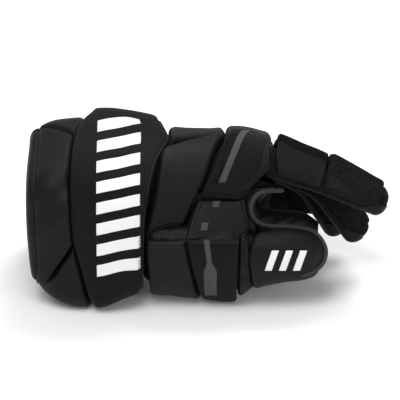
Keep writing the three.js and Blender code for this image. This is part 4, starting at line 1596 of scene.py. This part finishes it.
@dataclass
class Thumb:
    """Pads of the thumb's base, the panel before its joint, the cap and its binding."""

    binding: float = 2.2
    fold_start: float = 30.0
    fold_reach: float = 30.0
    fold_bow: float = 9.0
    binding_path: tuple[tuple[float, float, float], ...] = (
        (283, 190.5, -33), (276, 190.5, -38), (268, 191, -42), (261, 192, -45), (255, 196, -48),
        (251.5, 202, -50), (250.5, 209, -51.5), (252.5, 216, -52), (257, 221.5, -52), (264, 225, -51),
        (275, 226.5, -50), (287, 226.5, -49), (300, 228, -49), (312, 231.5, -52), (320, 239, -56),
        (324.5, 249, -60), (323.5, 259, -63), (318.5, 266.5, -66), (310, 271.5, -69), (300, 274.5, -70),
    )
    gusset_low: tuple[tuple[float, float, float], ...] = (
        (252, 218, -45), (258, 229, -46), (268, 234, -46), (284, 235, -46), (300, 236, -45.5), (317, 241, -47),
    )
    gusset_top: tuple[tuple[float, float, float], ...] = (
        (253, 196, -40), (262, 206, -38), (274, 209, -37), (289, 210, -36), (304, 212.5, -36), (318, 222, -40),
    )

    def build(self) -> list[bpy.types.Object]:
        """Make the pads, the web, the binding and the marks.

        Returns:
            The new objects.
        """
        seams, stripes, marks = Net(), Net(), Net()
        hem = together(Groove(Side.START, 5.0, 1.3, 0.9), Flange(Side.START, 3.0, 1.0))
        folds = together(Crease((0.0, 0.1), (1.0, 0.45), 1.0, 2.4), Crease((0.1, 0.5), (1.0, 0.72), 0.8, 2.0))
        broad, narrow = Edge(4, 4, 4.5, 6), Edge(2.5, 2.5, 3, 3, 0.4)
        cap_outline = table(
            "rear rear_angle front front_angle",
            (0.615, 93, 0.925, 92),
            (0.57, 125, 0.98, 115),
            (0.56, 160, 0.997, 162),
            (0.575, 205, 0.975, 208),
            (0.57, 245, 0.92, 245),
        )
        rows = (
            ("thumb_base_rear_pad", THUMB_PAD, (-0.01, 131, 0.2, 130, 0.01, 262, 0.3, 262), hem, broad),
            ("thumb_base_front_pad", THUMB_PAD, (0.21, 130, 0.5, 124, 0.31, 262, 0.49, 262), hem, broad),
            ("thumb_joint_panel", PANEL_PAD, (0.51, 112, 0.555, 112, 0.5, 240, 0.58, 240), folds, narrow),
        )
        rear, front, panel = (
            skin_pad(name, THUMB_SKIN, thickness, quad(*corners), thumb_along,
                     edge=edge, relief=relief, seed=61 + i)
            for i, (name, thickness, corners, relief, edge) in enumerate(rows)
        )
        cap = skin_pad("thumb_cap", THUMB_SKIN, CAP_PAD, cap_outline, thumb_along,
                       edge=Edge(5, 9, 5, 8, 0.3), seed=64, uneven=0.3)
        for pad in (rear, front):
            trim = Trim(pad)
            trim.stitch(seams, trim.along_side(Side.START, 3.4, 0.08))
        trim = Trim(front)
        bands = [
            ((203.5, 238), (209, 238)), ((205, 250), (210.5, 250)), ((206.5, 262), (212, 262)),
            ((204, 271), (216.5, 271)), ((204, 283), (216.5, 283)), ((205, 295), (217, 295)),
        ]
        trim.seen_patch(stripes, bands, cells=(60, 12), thickness=0.5)
        trim = Trim(cap)
        for left in (264, 278, 292):
            rungs = [((left + 7, 250), (left + 14, 250)), ((left + 3.5, 260), (left + 10.5, 260)),
                     ((left, 270), (left + 7, 270))]
            trim.seen_patch(marks, rungs, cells=(24, 8))
        return [
            rear.cover(Cloth.SMOOTH, (54, 96)),
            front.cover(Cloth.RIBBED, (54, 96)),
            panel.cover(Cloth.LEATHER, (26, 110), 0.4),
            cap.cover(Cloth.SMOOTH, (62, 96)),
            self.web(),
            *self.gusset(),
            self.bind(),
            seams.piece("thumb_stitches", Cloth.SEAM),
            stripes.piece("thumb_stripe", Cloth.STRIPE),
            marks.piece("cap_marks", Cloth.THREAD),
        ]

    def web(self) -> bpy.types.Object:
        """Make the leather web between the thumb and the hand.

        Returns:
            The web.
        """

        start, width, hand_side, thumb_side = 0.785, 0.085, 200.0, 92.0
        back = np.array([0.0, 4.0, 0.0])

        def sheet(height: float) -> Sheet:
            """The web at a height over the skins."""

            def points(u: Array, v: Array) -> Array:
                """Points at (u, v)."""
                x = hand_along(start + width * u)
                top = HAND_SKIN.point(x, hand_side, height)
                low = THUMB_SKIN.point(x, thumb_side, height)
                return top + (low - top) * v[..., None] + back

            return points

        pad = Pad("thumb_web", sheet(0.0), sheet(WEB_PAD), Edge(2, 2, 2, 2, 0.4), seed=70)
        return pad.cover(Cloth.LEATHER, (20, 40), 0.3)

    def bind(self) -> bpy.types.Object:
        """Make the tape that binds the web's edge, the cap's upper edge and the thumb's tip.

        Returns:
            The binding.
        """
        knots = [placed(*spot) for spot in self.binding_path]
        path = even_path(along_knots(knots, np.linspace(0, 1, 400)), 1.1)
        out = np.broadcast_to(TO_CAMERA, path.shape)
        net = Net()
        add_tube(net, path, self.binding, self.binding, out, 16)
        piece = net.piece("thumb_binding_tape", Cloth.TAPE)
        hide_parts("thumb_binding")
        return piece

    def gusset(self) -> list[bpy.types.Object]:
        """Make the wrinkled leather inside the binding and the fold of the palm behind it.

        Returns:
            The two pieces.
        """
        lower = np.array([placed(*spot) for spot in self.gusset_low])
        upper = np.array([placed(*spot) for spot in self.gusset_top])

        def sheet(height: float) -> Sheet:
            """The gusset at a height."""

            def points(u: Array, v: Array) -> Array:
                """Points at (u, v)."""
                low, top = along_knots(lower, u), along_knots(upper, u)
                sag = np.array([0.0, 5.0, -2.0]) * np.sin(math.pi * v)[..., None]
                return low + (top - low) * v[..., None] + sag + TO_CAMERA * height

            return points

        def fold(height: float) -> Sheet:
            """The palm's fold at a height."""

            def points(u: Array, v: Array) -> Array:
                """Points at (u, v)."""
                x = self.fold_start + (self.fold_reach - self.fold_bow * np.sin(math.pi * v)) * u
                top, low = HAND_SKIN.raw(x, 236.0), THUMB_SKIN.raw(x, 42.0)
                return top + (low - top) * v[..., None] + TO_CAMERA * height

            return points

        folds = together(*(Crease((a, 0.25), (a + 0.25, 0.8), 0.8, 2.6) for a in (0.15, 0.42, 0.6)))
        edge = Edge(1.5, 1.5, 1.5, 1.5, 0.4)
        front = Pad("thumb_gusset", sheet(-1.0), sheet(1.2), edge, folds, 71, 0.8)
        back = Pad("palm_fold", fold(-1.0), fold(1.2), edge, None, 72, 0.8)
        return [pad.shell((60, 28)).piece(pad.name, Cloth.LEATHER) for pad in (front, back)]


@dataclass(frozen=True)
class Finger:
    """A finger's stall, its leather palm side and its two pads."""

    name: str
    base: tuple[float, float, float]
    parts: tuple[float, ...]
    pitches: tuple[float, ...]
    roll: float
    spread: float
    clear: float
    corners: tuple[tuple[float, float], ...]
    seed: int

    RINGS, TIP_RINGS, SIDES = 60, 14, 48
    LEATHER_START, LEATHER_TURN, TIP_TURN = 6.0, 50.0, 50.0

    @property
    def length(self) -> float:
        """Length without the rounded tip."""
        return sum(self.parts)

    def skin(self, tip: bool = False) -> Skin:
        """The finger's skin.

        Args:
            tip: whether it goes on round the fingertip.

        Returns:
            The skin.
        """
        half = {"half_width": FINGER_WIDTH / 2, "half_height": FINGER_DEPTH / 2}
        shape = {"square_back": 2.8, "square_palm": 2.8, "roll": self.roll}
        s, x, up = 0.0, float(hand_along(self.base[0])), self.base[2] * HAND_RISE
        side = self.base[1] * HAND_WIDTH
        rows = [{"s": s, "x": x, "side": side, "up": up, **half, **shape, "pitch": self.pitches[0]}]
        for i, part in enumerate(self.parts):
            slope = math.radians(self.pitches[i])
            s += part
            x += part * math.cos(slope)
            up -= part * math.sin(slope)
            pitch = (self.pitches[i] + self.pitches[min(i + 1, len(self.pitches) - 1)]) / 2
            spread = side + self.spread * s / self.length
            rows.append({"s": s, "x": x, "side": spread, "up": up, **half, **shape, "pitch": pitch})
        if tip:
            last = rows[-1]
            slope = math.radians(last["pitch"])
            for share in (0.2, 0.4, 0.6, 0.78, 0.9, 0.97, 1.0):
                step = share * FINGER_TIP
                narrow = math.sqrt(1 - (0.97 * share) ** 2)
                rows.append({
                    **last,
                    "s": last["s"] + step,
                    "x": last["x"] + step * math.cos(slope),
                    "up": last["up"] - step * math.sin(slope),
                    "half_width": last["half_width"] * narrow,
                    "half_height": last["half_height"] * narrow,
                })
        return Skin(rows)

    def stall(self) -> bpy.types.Object:
        """Make the knitted stall, open towards the hand.

        Returns:
            The stall.
        """
        outer = self.skin(True)
        inner = outer.inset(FINGER_WALL)
        end = self.length + FINGER_TIP
        body = np.linspace(0, self.length, self.RINGS)
        places = np.concatenate([body, np.linspace(self.length + 0.6, end, self.TIP_RINGS)])
        inside = places[places < end - FINGER_WALL - 0.4]
        angles = np.arange(self.SIDES) * 360 / self.SIDES
        ripple = Ripple(self.seed, 15)
        s, turn = np.meshgrid(places, angles, indexing="ij")
        over = outer.point(s, turn, 0.35 * ripple(outer.raw(s, turn)))
        s, turn = np.meshgrid(inside, angles, indexing="ij")
        under = inner.raw(s, turn)[::-1]
        hubs = np.stack([outer.middle(np.array(end)), inner.middle(np.array(inside[-1]))])
        rings = np.concatenate([over, under])
        rows, columns = rings.shape[:2]
        index = np.arange(rows * columns).reshape(rows, columns)
        after = np.roll(index, -1, 1)
        split = len(places)
        spans = [(i, i + 1) for i in range(rows - 1) if i + 1 != split] + [(rows - 1, 0)]
        faces = [np.stack([index[i], index[j], after[j], after[i]], -1) for i, j in spans]
        tip, hollow = rows * columns, rows * columns + 1
        tips, hollows = np.full(columns, tip), np.full(columns, hollow)
        faces.append(np.stack([index[split - 1], tips, after[split - 1], after[split - 1]], -1))
        faces.append(np.stack([index[split], after[split], hollows, hollows], -1))
        points = np.concatenate([rings.reshape(-1, 3), hubs])
        net = Net()
        net.add(points, np.concatenate(faces), np.full(points.shape, FAR))
        piece = net.piece(self.name + "_stall_knit", Cloth.MESH)
        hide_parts(self.name + "_stall")
        return piece

    def leather(self) -> bpy.types.Object:
        """Make the leather that covers the finger's palm side and its tip.

        Returns:
            The leather.
        """
        skin = self.skin(True)
        end = self.length + FINGER_TIP * 0.96

        def sheet(height: float) -> Sheet:
            """The leather at a height over the skin."""

            def points(u: Array, v: Array) -> Array:
                """Points at (u, v)."""
                s = self.LEATHER_START + (end - self.LEATHER_START) * u
                tip = np.clip((u - 0.8) / 0.14, 0, 1)
                wide = self.LEATHER_TURN + self.TIP_TURN * tip + 1.8 * np.sin(u * 70)
                return skin.point(s, 270 + wide * (2 * v - 1), height)

            return points

        edge = Edge(1.2, 1.2, 1.2, 1.2, 0.1)
        pad = Pad(self.name + "_palm_leather", sheet(-0.3), sheet(1.1), edge, seed=self.seed + 5, uneven=0.3)
        return pad.shell((70, 46)).piece(pad.name, Cloth.LEATHER)

    def angle(self, v: Array) -> Array:
        """Angle in radians of a place across the pads."""
        return np.interp(v * (len(self.corners) - 1), np.arange(len(self.corners)), self.turns())

    def scaled(self) -> Array:
        """Corners of the pads in millimetres."""
        return np.array(self.corners) * [FINGER_WIDTH / 2, FINGER_DEPTH / 2]

    def turns(self) -> Array:
        """Angles of the corners in radians."""
        side, up = self.scaled().T
        return np.arctan2(up, side) + np.where((side < 0) & (up < 0), 2 * math.pi, 0)

    def reach(self, angle: Array) -> Array:
        """How far the pads' outline is from the finger's middle at an angle."""
        corners = self.scaled()
        i = np.searchsorted(self.turns()[1:-1], angle, side="left")
        (ax, ay), (bx, by) = corners[i].T, corners[i + 1].T
        shape = np.shape(angle)
        ax, ay, bx, by = (np.asarray(value).T.reshape(shape) for value in (ax, ay, bx, by))
        return (ax * by - ay * bx) / (np.cos(angle) * (by - ay) - np.sin(angle) * (bx - ax))

    def pad(self, end: str, start: float, stop: float, shares: tuple[float, float], slant: float) -> Pad:
        """One of the two pads.

        Args:
            end: near or tip.
            start: where it starts along the finger.
            stop: where it ends.
            shares: its thickness at both ends, as shares of the full one.
            slant: how far the top of its rear side leans back.

        Returns:
            The pad.
        """
        skin = self.skin()
        full, taper = shares

        def low(u: Array, v: Array) -> Array:
            """Points of the lower sheet."""
            return skin.point(start + (stop - start) * u, np.degrees(self.angle(v)), -ROOT)

        def high(u: Array, v: Array) -> Array:
            """Points of the upper sheet."""
            turn = self.angle(v)
            s = start + (stop - start) * u
            base = skin.point(s, np.degrees(turn), GAP)
            upright = s - slant * (1 - u) * np.maximum(np.sin(turn), 0)
            radius = self.reach(turn)
            top = skin.local(upright, radius * np.cos(turn), radius * np.sin(turn))
            return base + (top - base) * (full + (taper - full) * u)[..., None]

        edge = Edge(4, 4, 4, 4, 0.35)
        return Pad(f"{self.name}_{end}_pad", low, high, edge, seed=self.seed + len(end), uneven=0.3)

    def build(self, weave: Net, seams: Net) -> list[bpy.types.Object]:
        """Make the finger.

        Args:
            weave: what the rough panel of its near pad is added to.
            seams: what its stitches are added to.

        Returns:
            The new objects.
        """
        middle = self.parts[0] + self.parts[1]
        near = self.pad("near", self.clear, middle, (1, 0.6), 9)
        tip = self.pad("tip", middle + 2, self.length - 1, (0.8, 0.36), 3)
        trim = Trim(near)
        if self.name == "index":
            rungs = [((u, 0.06), (u, 0.525 + 0.025 * u)) for u in (0.04, 0.36, 0.66, 0.96)]
        else:
            rungs = [((u, 0.1), (u, 0.72)) for u in (0.08, 0.36, 0.64, 0.92)]
        trim.patch(weave, rungs, (44, 30), 0.35)
        trim.stitch(seams, trim.along_side(Side.END, 2.6, 0.1), length=2.0)
        facet = Net()
        slope = ((0.05, 0.65), (0.22, 0.67), (0.42, 0.72), (0.6, 0.77))
        Trim(tip).patch(facet, [((u, v), (u, 0.82)) for u, v in slope], (30, 16), 0.6)
        return [
            facet.piece(self.name + "_tip_facet", Cloth.SMOOTH),
            self.stall(),
            self.leather(),
            near.cover(Cloth.SMOOTH, (46, 76)),
            tip.cover(Cloth.SPACER, (46, 76)),
        ]


@dataclass
class Fingers:
    """The four fingers and the knitted gussets between them."""

    gusset_share: float = 0.95
    block: tuple[tuple[float, float], ...] = ((1.08, 0.2), (0.95, 1.7), (-0.95, 1.7), (-1.08, 0.2))
    index_block: tuple[tuple[float, float], ...] = (
        (1.1, 0.3), (0.92, 1.85), (-0.22, 2.45), (-1.38, 0.25), (-1.14, -0.45),
    )

    def gusset(self, one: Finger, other: Finger) -> bpy.types.Object:
        """Make the gusset between two fingers.

        Args:
            one: a finger.
            other: its neighbour.

        Returns:
            The gusset.
        """
        skins = one.skin(), other.skin()
        lengths = one.length, other.length

        def sheet(height: float) -> Sheet:
            """The gusset at a height."""

            def points(u: Array, v: Array) -> Array:
                """Points at (u, v)."""
                reach = self.gusset_share * (1 - 0.12 * np.sin(math.pi * v)) * u
                near, far = (
                    skin.local(reach * length, np.zeros_like(u), np.full_like(u, height))
                    for skin, length in zip(skins, lengths, strict=True)
                )
                return near + (far - near) * v[..., None]

            return points

        edge = Edge(1.5, 1.5, 1.5, 1.5, 0.5)
        pad = Pad(f"{one.name}_{other.name}_gusset", sheet(-1.2), sheet(1.2), edge, seed=95)
        return pad.shell((60, 24)).piece(pad.name, Cloth.MESH)

    def build(self) -> list[bpy.types.Object]:
        """Make them all.

        Returns:
            The new objects.
        """
        rows = table(
            "name base parts pitches roll spread clear corners seed",
            ("index", (0.93, -0.3, 1.3), (28, 28, 28, 30), (17, 19, 24, 24), 5, -2, 13, self.index_block, 81),
            ("middle", (0.93, 0.044, 1.15), (29, 29, 30, 30), (24, 28, 52, 56), 12, 1, 13.5, self.block, 84),
            ("ring", (0.9, 0.375, 1.03), (26, 26, 27, 27), (28, 33, 56, 60), 20, 4, 14.5, self.block, 87),
            ("little", (0.79, 0.68, 0.9), (22, 22, 24, 24), (50, 60, 78, 84), 26, 9, 24, self.block, 90),
        )
        fingers = [Finger(**row) for row in rows]
        weave, seams = Net(), Net()
        pieces = [piece for finger in fingers for piece in finger.build(weave, seams)]
        pieces += [self.gusset(one, other) for one, other in zip(fingers, fingers[1:], strict=False)]
        return [*pieces, weave.piece("finger_weave", Cloth.MESH), seams.piece("finger_stitches", Cloth.SEAM)]


@dataclass
class Studio:
    """Camera, pale floor and soft lights."""

    lens: float = 500.0
    sensor: float = 36.0
    middle: tuple[float, float] = (200.0, 200.0)
    floor: float = 24.0
    sky: float = 0.5
    lamps: tuple[tuple[str, tuple[float, float, float], float, float], ...] = (
        ("key", (-0.4, -0.8, 1.6), 0.9, 19),
        ("top", (0.3, 0.7, 1.5), 0.8, 15),
        ("front", (1.1, -1.2, 0.8), 0.6, 5),
    )

    def camera(self) -> None:
        """Put the camera at the photograph's angle above the floor."""
        data = bpy.data.cameras.new("camera")
        data.lens = self.lens
        data.sensor_width = self.sensor
        rise = math.radians(ELEVATION)
        distance = PHOTO_SIZE * PIXEL * MM * self.lens / self.sensor
        data.clip_start, data.clip_end = distance / 4, distance * 8
        across = (self.middle[0] - ORIGIN_PIXEL[0]) * PIXEL + SHIFT[0]
        up = (ORIGIN_PIXEL[1] - self.middle[1]) * PIXEL + SHIFT[2] * math.cos(rise) + SHIFT[1] * math.sin(rise)
        target = Vector((across, 0, up / math.cos(rise))) * MM
        camera = bpy.data.objects.new("camera", data)
        camera.location = target + Vector((0, -math.cos(rise), math.sin(rise))) * distance
        camera.rotation_euler = (math.radians(90 - ELEVATION), 0, 0)
        bpy.context.scene.collection.objects.link(camera)
        bpy.context.scene.camera = camera

    def lamp(self, name: str, place: Sequence[float], size: float, power: float) -> None:
        """Add a square soft light that faces the glove.

        Args:
            name: its name.
            place: where it is, in metres.
            size: its side.
            power: its watts.
        """
        data = bpy.data.lights.new(name, "AREA")
        data.size = size
        data.energy = power
        lamp = bpy.data.objects.new(name, data)
        lamp.location = place
        lamp.rotation_euler = (Vector((0, 0, 0.07)) - Vector(place)).to_track_quat("-Z", "Y").to_euler()
        bpy.context.scene.collection.objects.link(lamp)

    def build(self) -> None:
        """Add the floor, the world and the lights."""
        shade = Shade("floor")
        paint = {"Base Color": (0.93, 0.93, 0.93, 1), "Roughness": 0.9}
        surface = shade.node("ShaderNodeBsdfPrincipled", {}, paint)
        shade.tree.links.new(surface.out(), shade.output.inputs[0])
        half = self.floor / 2
        mesh = bpy.data.meshes.new("floor")
        corners = [(-half, -half, 0), (half, -half, 0), (half, half, 0), (-half, half, 0)]
        mesh.from_pydata(corners, [], [(0, 1, 2, 3)])
        mesh.materials.append(shade.material)
        floor = bpy.data.objects.new("floor", mesh)
        bpy.context.scene.collection.objects.link(floor)
        world = bpy.data.worlds.new("studio")
        world.use_nodes = True
        background = world.node_tree.nodes["Background"]
        background.inputs["Color"].default_value = (1, 1, 1, 1)
        background.inputs["Strength"].default_value = self.sky
        bpy.context.scene.world = world
        for lamp in self.lamps:
            self.lamp(*lamp)
        bpy.context.scene.view_settings.view_transform = "Standard"


def main() -> None:
    """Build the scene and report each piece."""
    logging.basicConfig(level=logging.INFO, format="%(name)s: %(message)s")
    studio = Studio()
    studio.camera()
    for assembly in (Shells(), Cuff(), Roll(), HandBack(), Thumb(), Fingers()):
        for piece in assembly.build():
            LOG.info("%s: %s, %d faces", type(assembly).__name__, piece.name, len(piece.data.polygons))
    studio.build()


if __name__ == "__main__":
    main()
